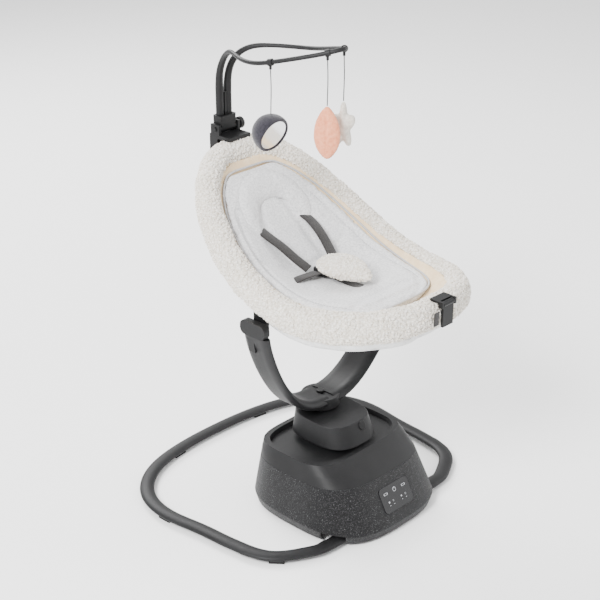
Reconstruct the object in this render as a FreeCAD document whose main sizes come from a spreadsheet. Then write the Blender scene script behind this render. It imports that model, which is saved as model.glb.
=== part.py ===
"""Baby swing on a powered base: a cushioned seat on a turning yoke, a floor ring and a toy arch.

Frame: millimetres, +Z up, origin on the floor under the base's centre.
-Y is the front, where the foot end of the seat and the control panel are; X = 0 is the plane of symmetry.
"""
import FreeCAD, Part
import math
import os

import Sketcher
from FreeCAD import Placement, Rotation, Vector

doc = FreeCAD.newDocument("BabySwing")
sheet = doc.addObject("Spreadsheet::Sheet", "Dims")

DIMENSIONS = {
    # floor ring
    "ring_half_width": 320.0, "ring_rear": 395.0, "ring_front": 108.0, "ring_tube_wide": 15.0,
    "ring_tube_high": 7.0, "ring_centre_height": 12.5, "pad_length": 30.0, "pad_wide": 16.0,
    # base housing
    "base_half_width": 158.0, "base_half_depth": 163.0, "base_hem_height": 5.0, "seam_height": 107.0,
    "rim_height": 143.0, "rim_half_width": 132.0, "rim_half_depth": 96.0, "rim_centre": 35.0,
    "seam_half_width": 141.0, "seam_half_depth": 132.0, "seam_centre": 16.0, "rim_land": 11.0,
    "recess_depth": 10.0, "housing_wall": 3.0, "fabric_skin": 1.2, "plate_height": 26.0, "plate_thick": 4.0,
    "foot_radius": 15.0, "foot_inset": 52.0, "foot_height": 4.0, "screw_radius": 3.5,
    "panel_wide": 84.0, "panel_tall": 52.0, "panel_thick": 3.0, "panel_height": 66.0,
    # drive
    "swing_axis": 15.0, "shaft_radius": 14.0, "bearing_width": 12.0, "bearing_radius": 24.0,
    "sector_radius": 62.0, "sector_thick": 8.0, "pinion_radius": 14.0, "sector_height": 84.0,
    "motor_radius": 20.0, "motor_length": 44.0, "run_gap": 0.05, "drive_height": 64.0,
    # turret
    "turret_floor": 147.0, "turret_half_width": 68.0, "turret_half_depth": 79.0, "turret_centre": 30.0,
    "turret_top": 194.0, "turret_top_half_width": 61.0, "turret_top_half_depth": 66.0,
    "turret_top_centre": 37.0, "turret_wall": 3.0, "turret_slope": 2.5, "button_radius": 9.0,
    "button_length": 20.0, "button_side": 12.0, "button_height": 178.0,
    # yoke
    "seat_axis": 67.0, "collar_radius": 39.0, "collar_floor": 195.5, "collar_height": 24.0,
    "spindle_radius": 15.0, "spindle_floor": 158.0, "arm_wide": 68.0, "arm_thick": 14.0,
    "arm_top_offset": 203.0, "arm_top": 424.0, "arm_top_y": 44.0, "socket_height": 29.0,
    "recline_pin_radius": 6.0, "pivot_height": 440.0, "tab_wide": 16.0, "tab_tall": 30.0,
    # seat
    "seat_half_width": 188.0, "seat_middle": 35.0, "seat_front": 255.0, "seat_rear": 270.0,
    "crest_low": 505.0, "frame_tube_radius": 8.0, "rim_drop": 29.0, "rim_half_thick": 20.0,
    "rim_half_tall": 28.0, "shell_thick": 24.0, "lining_thick": 4.0, "insert_thick": 26.0, "insert_swell": 18.0,
    "soft_gap": 0.8, "strap_wide": 22.0, "strap_thick": 2.4, "buckle_wide": 46.0,
    # foot lever
    "lever_wide": 40.0, "lever_drop": 48.0, "lever_thick": 5.0, "lever_pin_radius": 3.0,
    # toy arch
    "arch_y": 330.0, "clamp_wide": 58.0,
    "tilt_pin_radius": 5.0, "knob_radius": 12.0, "sleeve_height": 34.0, "post_radius": 8.0, "loop_radius": 4.2,
    "cord_length": 84.0, "cord_radius": 1.0,
}
for row, (alias, value) in enumerate(DIMENSIONS.items(), start=1):
    sheet.set("A%d" % row, alias)
    sheet.set("B%d" % row, str(value))
    sheet.setAlias("B%d" % row, alias)
doc.recompute()

UP = (0.0, 0.0, 1.0)
ACROSS = (1.0, 0.0, 0.0)
SIDES = {"left": -1, "right": 1}
kept = []


def dim(alias):
    """The sheet's present value of one driving dimension."""
    return float(sheet.get(alias))


def cell(alias):
    return "Dims." + alias


def keep(item, label):
    """Name a finished sub-part; its label is its file's name."""
    item.Label = label
    kept.append(item)
    return item


def locate(item, at, axis=UP):
    """Put an object at three expressions, with its own Z along axis."""
    item.Placement = Placement(Vector(0, 0, 0), Rotation(Vector(*UP), Vector(*axis)))
    for name, expression in zip("xyz", at):
        item.setExpression("Placement.Base." + name, expression)
    return item


def cylinder(name, radius, height, at, axis=UP):
    item = doc.addObject("Part::Cylinder", name)
    item.setExpression("Radius", radius)
    item.setExpression("Height", height)
    return locate(item, at, axis)


def cut(name, base, tool):
    item = doc.addObject("Part::Cut", name)
    item.Base = base
    item.Tool = tool
    return item


def fuse(name, items):
    item = doc.addObject("Part::MultiFuse", name)
    item.Shapes = items
    return item


def bush(name, outer, inner, height, at, axis=UP):
    """A plain ring: two cylinders on one axis, one cut from the other."""
    return cut(name, cylinder(name + "Outer", outer, height, at, axis),
               cylinder(name + "Bore", inner, height, at, axis))


def feature(name, shape, at=Vector(0, 0, 0)):
    item = doc.addObject("Part::Feature", name)
    item.Shape = shape
    item.Placement = Placement(at, Rotation()).multiply(shape.Placement)
    return item


def origin_plane(body, role):
    return next(item for item in body.Origin.OriginFeatures if item.Role == role)


def new_sketch(body, name, role="XY_Plane"):
    sketch = body.newObject("Sketcher::SketchObject", name)
    sketch.AttachmentSupport = [(origin_plane(body, role), "")]
    sketch.MapMode = "FlatFace"
    return sketch


def bind(sketch, constraint, expression):
    index = sketch.addConstraint(constraint)
    sketch.setExpression("Constraints[%d]" % index, expression)


def rectangle(sketch, wide, tall):
    """A rectangle centred on the sketch's origin, with both sizes bound to the sheet."""
    corners = [Vector(-9, -5, 0), Vector(9, -5, 0), Vector(9, 5, 0), Vector(-9, 5, 0)]
    for index in range(4):
        sketch.addGeometry(Part.LineSegment(corners[index], corners[(index + 1) % 4]), False)
    for index in range(4):
        sketch.addConstraint(Sketcher.Constraint("Coincident", index, 2, (index + 1) % 4, 1))
        kind = "Horizontal" if index % 2 == 0 else "Vertical"
        sketch.addConstraint(Sketcher.Constraint(kind, index))
    sketch.addConstraint(Sketcher.Constraint("Symmetric", 0, 1, 1, 2, -1, 1))
    bind(sketch, Sketcher.Constraint("DistanceX", 0, 1, 0, 2, 18.0), wide)
    bind(sketch, Sketcher.Constraint("DistanceY", 1, 1, 1, 2, 10.0), tall)


def pad(body, sketch, length):
    item = body.newObject("PartDesign::Pad", sketch.Name + "Pad")
    item.Profile = sketch
    item.setExpression("Length", length)
    body.Tip = item
    return item


def new_body(name):
    return doc.addObject("PartDesign::Body", name)


def hull(hx, hy, centre_y, power, height, count=32):
    """A closed rounded-square outline at one height, from a superellipse."""
    points = []
    for step in range(count):
        turn = 2 * math.pi * step / count
        reach = (abs(math.cos(turn) / hx) ** power + abs(math.sin(turn) / hy) ** power) ** (-1 / power)
        points.append(Vector(reach * math.cos(turn), centre_y + reach * math.sin(turn), height))
    curve = Part.BSplineCurve()
    curve.interpolate(points, PeriodicFlag=True)
    return Part.Wire([curve.toShape()])


def blend(low, high, share):
    return low + (high - low) * share


# ---------------------------------------------------------------- base housing
BELLY_RISE = 18.0
HEM_TUCK = 5.0
BOARD_LIFT = 6.0
INLET_HEIGHT = 50.0
INLET_RADIUS = 6.0


def housing_station(height):
    """Half width, half depth, centre and squareness of the housing at a height."""
    belly = dim("base_hem_height") + BELLY_RISE
    stations = [
        (dim("base_hem_height"), dim("base_half_width") - HEM_TUCK, dim("base_half_depth") - HEM_TUCK,
                0.0, 3.1),
        (belly, dim("base_half_width"), dim("base_half_depth"), 0.0, 3.1),
        (dim("seam_height"), dim("seam_half_width"), dim("seam_half_depth"), dim("seam_centre"), 3.3),
        (dim("rim_height"), dim("rim_half_width"), dim("rim_half_depth"), dim("rim_centre"), 4.2),
    ]
    for low, high in zip(stations, stations[1:]):
        if height <= high[0] + 1e-6:
            share = (height - low[0]) / (high[0] - low[0])
            return [blend(a, b, share) for a, b in zip(low[1:], high[1:])]
    return list(stations[-1][1:])


def housing_loft(heights, inset):
    """The housing's solid between heights, drawn in by inset all round."""
    wires = []
    for height in heights:
        hx, hy, centre, power = housing_station(height)
        wires.append(hull(hx - inset, hy - inset, centre, power, height))
    return Part.makeLoft(wires, True, True)


def mirrored(shape):
    """The same shape on the other side of the plane of symmetry."""
    return shape.mirror(Vector(0, 0, 0), Vector(1, 0, 0))


def box(low, high):
    size = [b - a for a, b in zip(low, high)]
    return Part.makeBox(size[0], size[1], size[2], Vector(*low))


def ring_notches():
    """Room for the floor ring where it enters the housing on each side."""
    half = dim("ring_tube_wide") / 2 + 22.0
    top = dim("ring_centre_height") + dim("ring_tube_high") + 4.0
    front = -dim("ring_front")
    cuts = []
    for side in SIDES.values():
        low = min(side * 100.0, side * 190.0)
        cuts.append(box((low, front - half + 14.0, -1.0), (low + 90.0, front + half, top)))
    return cuts


def panel_frame(depth_out):
    """Placement of the control panel on the sloping front wall, moved out along its normal."""
    half = dim("panel_tall") / 2
    low = housing_station(dim("panel_height") - half)
    high = housing_station(dim("panel_height") + half)
    lean = math.atan2((high[2] - high[1]) - (low[2] - low[1]), 2 * half)
    middle = housing_station(dim("panel_height"))
    face_y = middle[2] - middle[1]
    normal = Vector(0, -math.cos(lean), math.sin(lean))
    turn = Rotation(ACROSS_VECTOR, 90 - math.degrees(lean))
    return Placement(Vector(0, face_y, dim("panel_height")) + normal * depth_out, turn)


ACROSS_VECTOR = Vector(*ACROSS)
PANEL_CORNER = 9.0
PANEL_CLEAR = 0.4


def rounded_slab(wide, tall, thick, corner):
    """A slab centred on its own origin in X and Y, with rounded corners."""
    slab = Part.makeBox(wide, tall, thick, Vector(-wide / 2, -tall / 2, 0))
    upright = [edge for edge in slab.Edges if abs(edge.BoundBox.ZLength - thick) < 1e-6]
    return slab.makeFillet(corner, upright)


def base_housing():
    wall = dim("housing_wall")
    skin = dim("fabric_skin")
    hem = dim("base_hem_height")
    seam = dim("seam_height")
    rim = dim("rim_height")
    lower = [hem, hem + BELLY_RISE, 64.0, seam]
    window = rounded_slab(dim("panel_wide") + 2 * PANEL_CLEAR, dim("panel_tall") + 2 * PANEL_CLEAR, 60.0,
                          PANEL_CORNER + PANEL_CLEAR)
    window.Placement = panel_frame(-30.0)
    gap = 0.15
    outer = housing_loft(lower, 0.0)
    backing = housing_loft(lower, skin)
    inlet_hole = Part.makeCylinder(INLET_RADIUS + 0.2, 90.0, Vector(0, 110.0, INLET_HEIGHT), Vector(0, 1, 0))
    cuts = ring_notches() + [window, inlet_hole]
    shell = housing_loft(lower, skin + gap).cut(housing_loft(lower, skin + gap + wall))
    keep(feature("SkirtFabric", outer.cut(backing).cut(Part.makeCompound(cuts))), "skirt_fabric")
    keep(feature("SkirtShell", shell.cut(Part.makeCompound(cuts))), "skirt_shell")

    floor = seam + 0.2
    land = dim("rim_land")
    plateau = rim - dim("recess_depth")
    cover = housing_loft([floor, 0.5 * (floor + rim), rim], 0.0)
    recess = Part.makeLoft([
        hull(dim("rim_half_width") - land - 2.0, dim("rim_half_depth") - land - 2.0, dim("rim_centre"), 4.2,
             plateau),
        hull(dim("rim_half_width") - land + 1.0, dim("rim_half_depth") - land + 1.0, dim("rim_centre"), 4.2,
             rim + 1.0)], True, True)
    under = plateau - wall
    hollow = housing_loft([floor, 0.5 * (floor + under), under], wall + 2.0)
    well = Part.makeCylinder(dim("bearing_radius") + 6.0, 60.0, Vector(0, dim("swing_axis"), 90.0))
    holder_low = dim("drive_height") + 38.0
    holder = Part.makeCylinder(dim("bearing_radius") + 8.0, plateau - 1.0 - holder_low,
                               Vector(0, dim("swing_axis"), holder_low))
    seat = Part.makeCylinder(dim("bearing_radius") + 0.1, 80.0, Vector(0, dim("swing_axis"),
            holder_low - 1.0))
    cover = cover.cut(recess).cut(hollow).cut(well).fuse(holder).cut(seat)
    keep(feature("TopCover", cover), "top_cover")

    plate_low = dim("plate_height")
    hx, hy, centre, power = housing_station(plate_low)
    edge = wall + skin + 3.0
    plate = Part.makeLoft([
        hull(hx - edge, hy - edge, centre, power, plate_low),
        hull(hx - edge, hy - edge, centre, power, plate_low + dim("plate_thick"))], True, True)
    for x in (-38.0, 38.0):
        for y in (66.0, 110.0):
            plate = plate.fuse(Part.makeCylinder(3.0, BOARD_LIFT, Vector(x, y,
                    plate_low + dim("plate_thick"))))
    keep(feature("BasePlate", plate), "base_plate")

    slab = rounded_slab(dim("panel_wide"), dim("panel_tall"), dim("panel_thick"), PANEL_CORNER)
    slab.Placement = panel_frame(-dim("panel_thick") + 1.4)
    keep(feature("ControlPanel", slab), "control_panel")


# ---------------------------------------------------------------- floor ring
def ring_points():
    """Half of the ring's centre line, from the middle of the back to the front, at positive X."""
    half = dim("ring_half_width") - dim("ring_tube_wide")
    rear = dim("ring_rear") - dim("ring_tube_wide")
    front = -dim("ring_front")
    return [(0.0, rear), (0.40 * half, rear - 8.0), (0.72 * half, rear - 38.0), (0.93 * half, rear - 98.0),
            (half, rear - 180.0), (0.965 * half, rear - 270.0), (0.945 * half, rear - 340.0),
            (0.93 * half, 5.0), (0.84 * half, front + 46.0), (0.68 * half, front + 14.0), (0.5 * half,
                    front)]


def oval_at(point, along, half_wide, half_high):
    """A flat oval wire standing across a level direction."""
    points = []
    across = Vector(along.y, -along.x, 0).normalize()
    for step in range(16):
        turn = 2 * math.pi * step / 16
        points.append(point + across * (half_wide * math.cos(turn)) + Vector(0, 0,
                half_high * math.sin(turn)))
    curve = Part.BSplineCurve()
    curve.interpolate(points, PeriodicFlag=True)
    return Part.Wire([curve.toShape()])


def oval_tube(points, start_way, end_way, half_wide, half_high):
    """A flat oval tube along a level curve through the points."""
    z = dim("ring_centre_height")
    curve = Part.BSplineCurve()
    curve.interpolate([Vector(x, y, z) for x, y in points], InitialTangent=start_way, FinalTangent=end_way)
    count = 3 * (len(points) - 1)
    first, last = curve.FirstParameter, curve.LastParameter
    wires = []
    for step in range(count + 1):
        at = first + (last - first) * step / count
        wires.append(oval_at(curve.value(at), curve.tangent(at)[0], half_wide, half_high))
    return Part.makeLoft(wires, True, False)


def floor_ring():
    half = ring_points()
    z = dim("ring_centre_height")
    wide = dim("ring_tube_wide")
    high = dim("ring_tube_high")
    joint_at = 8
    rear = [(-x, y) for x, y in reversed(half[1:joint_at])] + half[:joint_at]
    flow = Vector(half[joint_at - 1][0] - half[joint_at - 2][0],
            half[joint_at - 1][1] - half[joint_at - 2][1], 0)
    flow = flow.normalize()
    rear_tube = oval_tube(rear, Vector(flow.x, -flow.y, 0), Vector(flow.x, flow.y, 0), wide, high)
    keep(feature("RingRearTube", rear_tube), "ring_rear_tube")
    corner = oval_tube(half[joint_at - 1:], flow, Vector(-1, 0, 0), wide, high)
    keep(feature("RingCorners", Part.makeCompound([corner, mirrored(corner)])), "ring_corner_tubes")
    span = half[-1][0]
    keep(feature("RingCrossTube", cross_bar(span, wide, high)), "ring_cross_tube")

    pads = []
    drop = z - high
    spots = [(half[1], 8), (half[4], 92), (half[8], 130)]
    for sign in (-1, 1):
        for (x, y), turn in spots:
            length = dim("pad_length")
            slab = Part.makeBox(length, dim("pad_wide"), drop - 0.1,
                                Vector(-length / 2, -dim("pad_wide") / 2, 0))
            angle = turn if sign > 0 else 180 - turn
            slab.Placement = Placement(Vector(sign * x, y, 0), Rotation(Vector(0, 0, 1), -angle))
            pads.append(slab)
    keep(feature("RingFootPads", Part.makeCompound(pads)), "ring_foot_pads")

    clamps = []
    top = dim("plate_height")
    for sign in (-1, 1):
        for x in (40.0, 100.0):
            strap = box((sign * x - 9.0, -dim("ring_front") - wide - 8.0, z - 4.0),
                        (sign * x + 9.0, -dim("ring_front") + wide + 8.0, top))
            clamps.append(strap.cut(cross_bar(span, wide + 0.2, high + 0.2)))
    keep(feature("RingClamps", Part.makeCompound(clamps)), "ring_clamps")


def cross_bar(span, half_wide, half_high):
    """The straight front tube under the housing, or its outline for the clamps' saddles."""
    centre = Vector(-span, -dim("ring_front"), dim("ring_centre_height"))
    wire = oval_at(centre, ACROSS_VECTOR, half_wide, half_high)
    return Part.Face(wire).extrude(Vector(2 * span, 0, 0))


base_housing()
floor_ring()


# ---------------------------------------------------------------- feet, fasteners and drive
FRONT_FOOT_SHIFT = 34


def base_fittings():
    feet = []
    for index, (across, deep) in enumerate(((-1, -1), (1, -1), (-1, 1), (1, 1), (0, 0))):
        x = "%d * (Dims.base_half_width - Dims.foot_inset)" % across
        y = "%d * (Dims.base_half_depth - Dims.foot_inset - 6) + %d" % (deep,
                FRONT_FOOT_SHIFT if deep < 0 else 0)
        feet.append(cylinder("Foot%d" % index, cell("foot_radius"), cell("foot_height"), (x, y, "0")))
        post = cylinder("Post%d" % index, cell("foot_radius") + " - 4",
                        "Dims.plate_height - Dims.foot_height", (x, y, cell("foot_height")))
        feet.append(post)
    keep(fuse("RubberFeet", feet), "rubber_feet")

    screws = []
    for index in range(6):
        angle = math.radians(60 * index)
        x = "%.4f * (Dims.base_half_width - 30)" % math.cos(angle)
        y = "%.4f * (Dims.base_half_depth - 34)" % math.sin(angle)
        screws.append(cylinder("Screw%d" % index, cell("screw_radius"), "3",
                               (x, y, "Dims.plate_height - 3")))
    keep(fuse("BaseScrews", screws), "base_screws")

    board = new_body("CircuitBoard")
    outline = new_sketch(board, "BoardOutline")
    rectangle(outline, "90", "60")
    pad(board, outline, "1.6")
    locate(board, ("0", "88", "Dims.plate_height + Dims.plate_thick + 6"))
    keep(board, "circuit_board")
    keep(fuse("Speaker", [
        cylinder("SpeakerMagnet", "16", "12", ("-72", "-62", "Dims.plate_height + Dims.plate_thick")),
        cylinder("SpeakerCone", "26", "8", ("-72", "-62", "Dims.plate_height + Dims.plate_thick + 12")),
    ]), "speaker")

    back = housing_station(INLET_HEIGHT)
    face = back[2] + back[1]
    barrel_at = ("0", "%.3f" % (face - 18.0), str(INLET_HEIGHT))
    bore_at = ("0", "%.3f" % (face - 13.5), str(INLET_HEIGHT))
    inlet = cut("PowerInlet", cylinder("InletBarrel", str(INLET_RADIUS), "18", barrel_at, (0, 1, 0)),
                cylinder("InletBore", "2.8", "16", bore_at, (0, 1, 0)))
    keep(inlet, "power_inlet")


def swing_drive():
    axis = ("0", cell("swing_axis"))
    low = "Dims.plate_height + Dims.plate_thick"
    wells = []
    for name, floor in (("Lower", "Dims.drive_height - 14"), ("Upper", "Dims.drive_height + 38")):
        wells.append(bush(name + "Bearing", cell("bearing_radius"), "Dims.shaft_radius + Dims.run_gap",
                          cell("bearing_width"), axis + (floor,)))
    keep(fuse("SwingBearings", wells), "swing_bearings")

    legs = []
    for index in range(3):
        angle = math.radians(120 * index + 90)
        reach = dim("bearing_radius") + 8.0
        legs.append(cylinder("TowerLeg%d" % index, "6", "Dims.drive_height - 14 - (%s)" % low,
                             ("%.3f" % (reach * math.cos(angle)),
                              "Dims.swing_axis + %.3f" % (reach * math.sin(angle)), low)))
    carrier = bush("TowerDeck", "Dims.bearing_radius + 16", "Dims.bearing_radius + 0.1",
                   cell("bearing_width"), axis + ("Dims.drive_height - 14",))
    gap = "Dims.sector_radius + Dims.pinion_radius + 0.6"
    pinion_at = ("%s" % gap, cell("swing_axis"))
    keep(fuse("DrivePinion", [
        cylinder("PinionGear", cell("pinion_radius"), cell("sector_thick"),
                pinion_at + (cell("sector_height"),)),
        cylinder("PinionShaft", "4", "10", pinion_at + ("Dims.sector_height - 10",)),
    ]), "drive_pinion")
    motor_floor = "Dims.sector_height - 1 - Dims.motor_length"
    motor = cut("DriveMotor",
                cylinder("MotorCan", cell("motor_radius"), cell("motor_length"), pinion_at + (motor_floor,)),
                cylinder("MotorBore", "4 + Dims.run_gap", "12", pinion_at + ("Dims.sector_height - 12",)))
    keep(motor, "drive_motor")
    cup = bush("MotorMount", "Dims.motor_radius + 6", "Dims.motor_radius + 0.1",
            "Dims.drive_height - 14 - (%s)"
               % low, pinion_at + (low,))
    keep(fuse("DriveTower", legs + [carrier, cup]), "drive_tower")

    sector = cylinder("SectorDisc", cell("sector_radius"), cell("sector_thick"),
                      axis + (cell("sector_height"),))
    sector.setExpression("Angle", "100")
    sector.Placement = Placement(Vector(0, 0, 0), Rotation(Vector(0, 0, 1), -50))
    hub = cylinder("SectorHub", "Dims.shaft_radius + 7", cell("sector_thick"),
            axis + (cell("sector_height"),))
    bore = cylinder("SectorBore", "Dims.shaft_radius", "60", axis + ("Dims.sector_height - 20",))
    keep(cut("SectorGear", fuse("SectorBlank", [sector, hub]), bore), "sector_gear")
    keep(cylinder("SwingShaft", cell("shaft_radius"), "Dims.turret_floor - Dims.drive_height + 14",
                  axis + ("Dims.drive_height - 14",)), "swing_shaft")


base_fittings()
swing_drive()


# ---------------------------------------------------------------- turret
def turret_loft(inset, low, high):
    """The turret's rounded block between two heights, drawn in by inset."""
    span = dim("turret_top") - dim("turret_floor")
    wires = []
    for height in (low, 0.5 * (low + high), high):
        share = (height - dim("turret_floor")) / span
        wires.append(hull(
            blend(dim("turret_half_width"), dim("turret_top_half_width"), share) - inset,
            blend(dim("turret_half_depth"), dim("turret_top_half_depth"), share) - inset,
            blend(dim("turret_centre"), dim("turret_top_centre"), share), 3.0, height))
    return Part.makeLoft(wires, True, True)


def sloping_cutter(drop):
    """Everything above the turret's sloping top, which falls towards the front."""
    cutter = Part.makeBox(300, 400, 80, Vector(-150, -200, 0))
    centre = Vector(0, dim("seat_axis") + dim("collar_radius"), dim("turret_top") - drop)
    cutter.Placement = Placement(centre, Rotation(Vector(1, 0, 0), dim("turret_slope")))
    return cutter


def button_axis():
    """Where the release button sits on the turret's front face, and the way it points."""
    share = (dim("button_height") - dim("turret_floor")) / (dim("turret_top") - dim("turret_floor"))
    face = (blend(dim("turret_centre"), dim("turret_top_centre"), share)
            - blend(dim("turret_half_depth"), dim("turret_top_half_depth"), share))
    lean = math.atan2(dim("turret_half_depth") - dim("turret_top_half_depth")
                      + dim("turret_top_centre") - dim("turret_centre"),
                      dim("turret_top") - dim("turret_floor"))
    return Vector(dim("button_side"), face, dim("button_height")), Vector(0, -math.cos(lean), math.sin(lean))


def turret():
    low = dim("turret_floor")
    high = dim("turret_top") + 6.0
    wall = dim("turret_wall")
    outer = turret_loft(0.0, low, high).cut(sloping_cutter(0.0))
    inner = turret_loft(wall, low - 0.5, high).cut(sloping_cutter(wall))
    cover = outer.cut(inner)
    spot, way = button_axis()
    socket = Part.makeCylinder(dim("button_radius") + 0.4, 30.0, spot - way * 15.0, way)
    throat = Part.makeCylinder(dim("bearing_radius") + 0.2, 60.0, Vector(0, dim("seat_axis"), low + 10.0))
    edge = [item for item in cover.Edges if item.BoundBox.ZMin > dim("turret_top") - 14.0
            and item.BoundBox.XLength > dim("turret_top_half_width")]
    longest = sorted(edge, key=lambda item: -item.Length)[:1]
    cover = cover.makeFillet(2.5, longest)
    keep(feature("TurretCover", cover.cut(socket).cut(throat)), "turret_cover")

    plate = turret_loft(wall + 0.2, low, low + 4.0)
    spine = Part.makeCylinder(dim("bearing_radius") + 4.0, 20.0, Vector(0, dim("seat_axis"), low))
    keep(feature("TurretChassis", plate.fuse(spine).cut(
        Part.makeCylinder(dim("spindle_radius") + 1.0, 40.0, Vector(0, dim("seat_axis"), low + 6.0)))),
        "turret_chassis")
    keep(bush("RotationBearing", cell("bearing_radius"), "Dims.spindle_radius + Dims.run_gap", "14",
              ("0", cell("seat_axis"), "Dims.turret_floor + 20.1")), "rotation_bearing")

    length = dim("button_length")
    button = Part.makeCylinder(dim("button_radius"), length, spot - way * (length - 2.0), way)
    rim = [item for item in button.Edges if item.BoundBox.Center.distanceToPoint(spot + way * 2.0) < 0.5]
    keep(feature("ReleaseButton", button.makeFillet(1.2, rim)), "rotation_release_button")
    coil = Part.makeCylinder(5.0, 8.0, spot - way * (length + 6.1), way)
    coil = coil.cut(Part.makeCylinder(3.4, 30.0, spot - way * 40.0, way))
    keep(feature("ButtonSpring", coil), "button_spring")


# ---------------------------------------------------------------- yoke
def arm_path():
    """Centre line of one arm from the collar up: (x, z) pairs."""
    top = dim("arm_top")
    out = dim("arm_top_offset")
    base = dim("collar_floor") + 16.0
    rise = top - base
    return [(8.0, base), (0.20 * out, base + 0.012 * rise), (0.36 * out, base + 0.075 * rise),
            (0.53 * out, base + 0.21 * rise), (0.70 * out, base + 0.42 * rise),
            (0.84 * out, base + 0.66 * rise), (0.945 * out, base + 0.90 * rise), (out * 0.975, top)]


def arm_section(index, path):
    """The arm's rounded rectangle across its path, as a closed wire."""
    x, z = path[index]
    ahead = path[min(index + 1, len(path) - 1)]
    behind = path[max(index - 1, 0)]
    along = Vector(ahead[0] - behind[0], 0, ahead[1] - behind[1]).normalize()
    through = Vector(along.z, 0, -along.x)
    share = (z - path[0][1]) / (path[-1][1] - path[0][1])
    y = blend(dim("seat_axis"), dim("arm_top_y"), share)
    wide = blend(dim("arm_wide") + 4.0, dim("arm_wide"), share) / 2
    thick = blend(dim("arm_thick") + 6.0, dim("arm_thick"), min(1.0, 3 * share)) / 2
    points = []
    for step in range(20):
        turn = 2 * math.pi * step / 20
        reach = (abs(math.cos(turn) / wide) ** 5 + abs(math.sin(turn) / thick) ** 5) ** -0.2
        flat = reach * math.cos(turn)
        deep = reach * math.sin(turn)
        points.append(Vector(x, y, z) + Vector(0, 1, 0) * flat + through * deep)
    curve = Part.BSplineCurve()
    curve.interpolate(points, PeriodicFlag=True)
    return Part.Wire([curve.toShape()])


def yoke():
    path = arm_path()
    arm = Part.makeLoft([arm_section(index, path) for index in range(len(path))], True, False)
    floor = dim("collar_floor")
    collar = Part.makeCylinder(dim("collar_radius"), dim("collar_height"), Vector(0, dim("seat_axis"),
            floor))
    collar = collar.makeFillet(2.0, [item for item in collar.Edges if item.BoundBox.ZMax < floor + 0.5])
    frame = collar.fuse([arm, mirrored(arm)])
    frame = frame.cut(Part.makeCylinder(dim("spindle_radius"), 16.0, Vector(0, dim("seat_axis"),
            floor - 1.0)))
    catch_well = Part.makeCylinder(8.4, 30.0, Vector(0, dim("seat_axis"), floor + 18.0))
    frame = frame.cut(catch_well).cut(box((-300.0, -100.0, dim("arm_top")), (300.0, 200.0,
            dim("pivot_height"))))
    tabs = {}
    top = dim("arm_top")
    for side, sign in SIDES.items():
        tall = dim("tab_tall")
        wide = dim("tab_wide")
        middle = Vector(sign * (dim("arm_top_offset") * 0.945), dim("arm_top_y") + 14.0, top - 24.0)
        outward = Rotation(Vector(0, 1, 0), sign * 9.0)
        well = Part.makeBox(40.0, wide + 1.0, tall + 1.0, Vector(0 if sign > 0 else -40, -(wide + 1) / 2,
                                                                 -(tall + 1) / 2))
        well.Placement = Placement(middle, outward)
        frame = frame.cut(well)
        tab = Part.makeBox(5.0, wide, tall, Vector(2.6 if sign > 0 else -7.6, -wide / 2, -tall / 2))
        tab.Placement = Placement(middle, outward)
        tabs[side] = tab
    keep(feature("YokeFrame", frame), "yoke_frame")
    for side, tab in tabs.items():
        keep(feature("ReleaseTab" + side.title(), tab), "seat_release_tab_" + side)
    catch = Part.makeCylinder(8.0, 10.0, Vector(0, dim("seat_axis"), floor + 20.0))
    crown = [item for item in catch.Edges if item.BoundBox.ZMin > floor + 29.0]
    keep(feature("SaddleCatch", catch.makeFillet(1.5, crown)), "saddle_catch")
    keep(cylinder("RotationSpindle", cell("spindle_radius"), "Dims.collar_floor + 14 - Dims.spindle_floor",
                  ("0", cell("seat_axis"), cell("spindle_floor"))), "rotation_spindle")
    sockets = []
    pins = []
    inner = dim("arm_top_offset") - 6.5
    outer = dim("arm_top_offset") + 8.0
    shell = box((inner, dim("arm_top_y") - 32.0, top + 0.3),
                (outer, dim("arm_top_y") + 32.0, top + dim("socket_height")))
    shell = shell.makeFillet(12.0, [e for e in shell.Edges if abs(e.BoundBox.XLength - outer + inner) < 0.1])
    pivot = Vector(dim("arm_top_offset") - 20.0, dim("arm_top_y"), dim("pivot_height"))
    shell = shell.cut(Part.makeCylinder(dim("recline_pin_radius"), 25.0, pivot, ACROSS_VECTOR))
    pin = Part.makeCylinder(dim("recline_pin_radius"), 24.5, pivot, ACROSS_VECTOR)
    for shape, group in ((shell, sockets), (pin, pins)):
        group.extend([shape, mirrored(shape)])
    keep(feature("ArmSockets", Part.makeCompound(sockets)), "arm_sockets")
    keep(feature("ReclinePins", Part.makeCompound(pins)), "recline_pins")


turret()
yoke()


# ---------------------------------------------------------------- seat
FOOT_RISE = 0.0006


def crest_height(y):
    """Height of the rim's crest: a long even climb to the head, a small rise to the foot."""
    low_y = -60.0
    if y < low_y:
        return dim("crest_low") + FOOT_RISE * (low_y - y) ** 2
    return dim("crest_low") + 560.0 * (math.sqrt(1 + ((y - low_y) / 400.0) ** 2) - 1)


def crest_point(turn, inset=0.0, drop=0.0):
    """A point of the rim's crest; turn 0 is the right side and a quarter turn the head."""
    power = 2.4
    ends = dim("seat_rear") if math.sin(turn) >= 0 else dim("seat_front")
    hx = dim("seat_half_width") - inset
    hy = ends - inset
    reach = (abs(math.cos(turn) / hx) ** power + abs(math.sin(turn) / hy) ** power) ** (-1 / power)
    y = dim("seat_middle") + reach * math.sin(turn)
    return Vector(reach * math.cos(turn), y, crest_height(y * (1 + inset / hy)) - drop)


def rim_curve(inset, drop, count=40):
    curve = Part.BSplineCurve()
    points = [crest_point(2 * math.pi * step / count, inset, drop) for step in range(count)]
    curve.interpolate(points, PeriodicFlag=True)
    return curve


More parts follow.
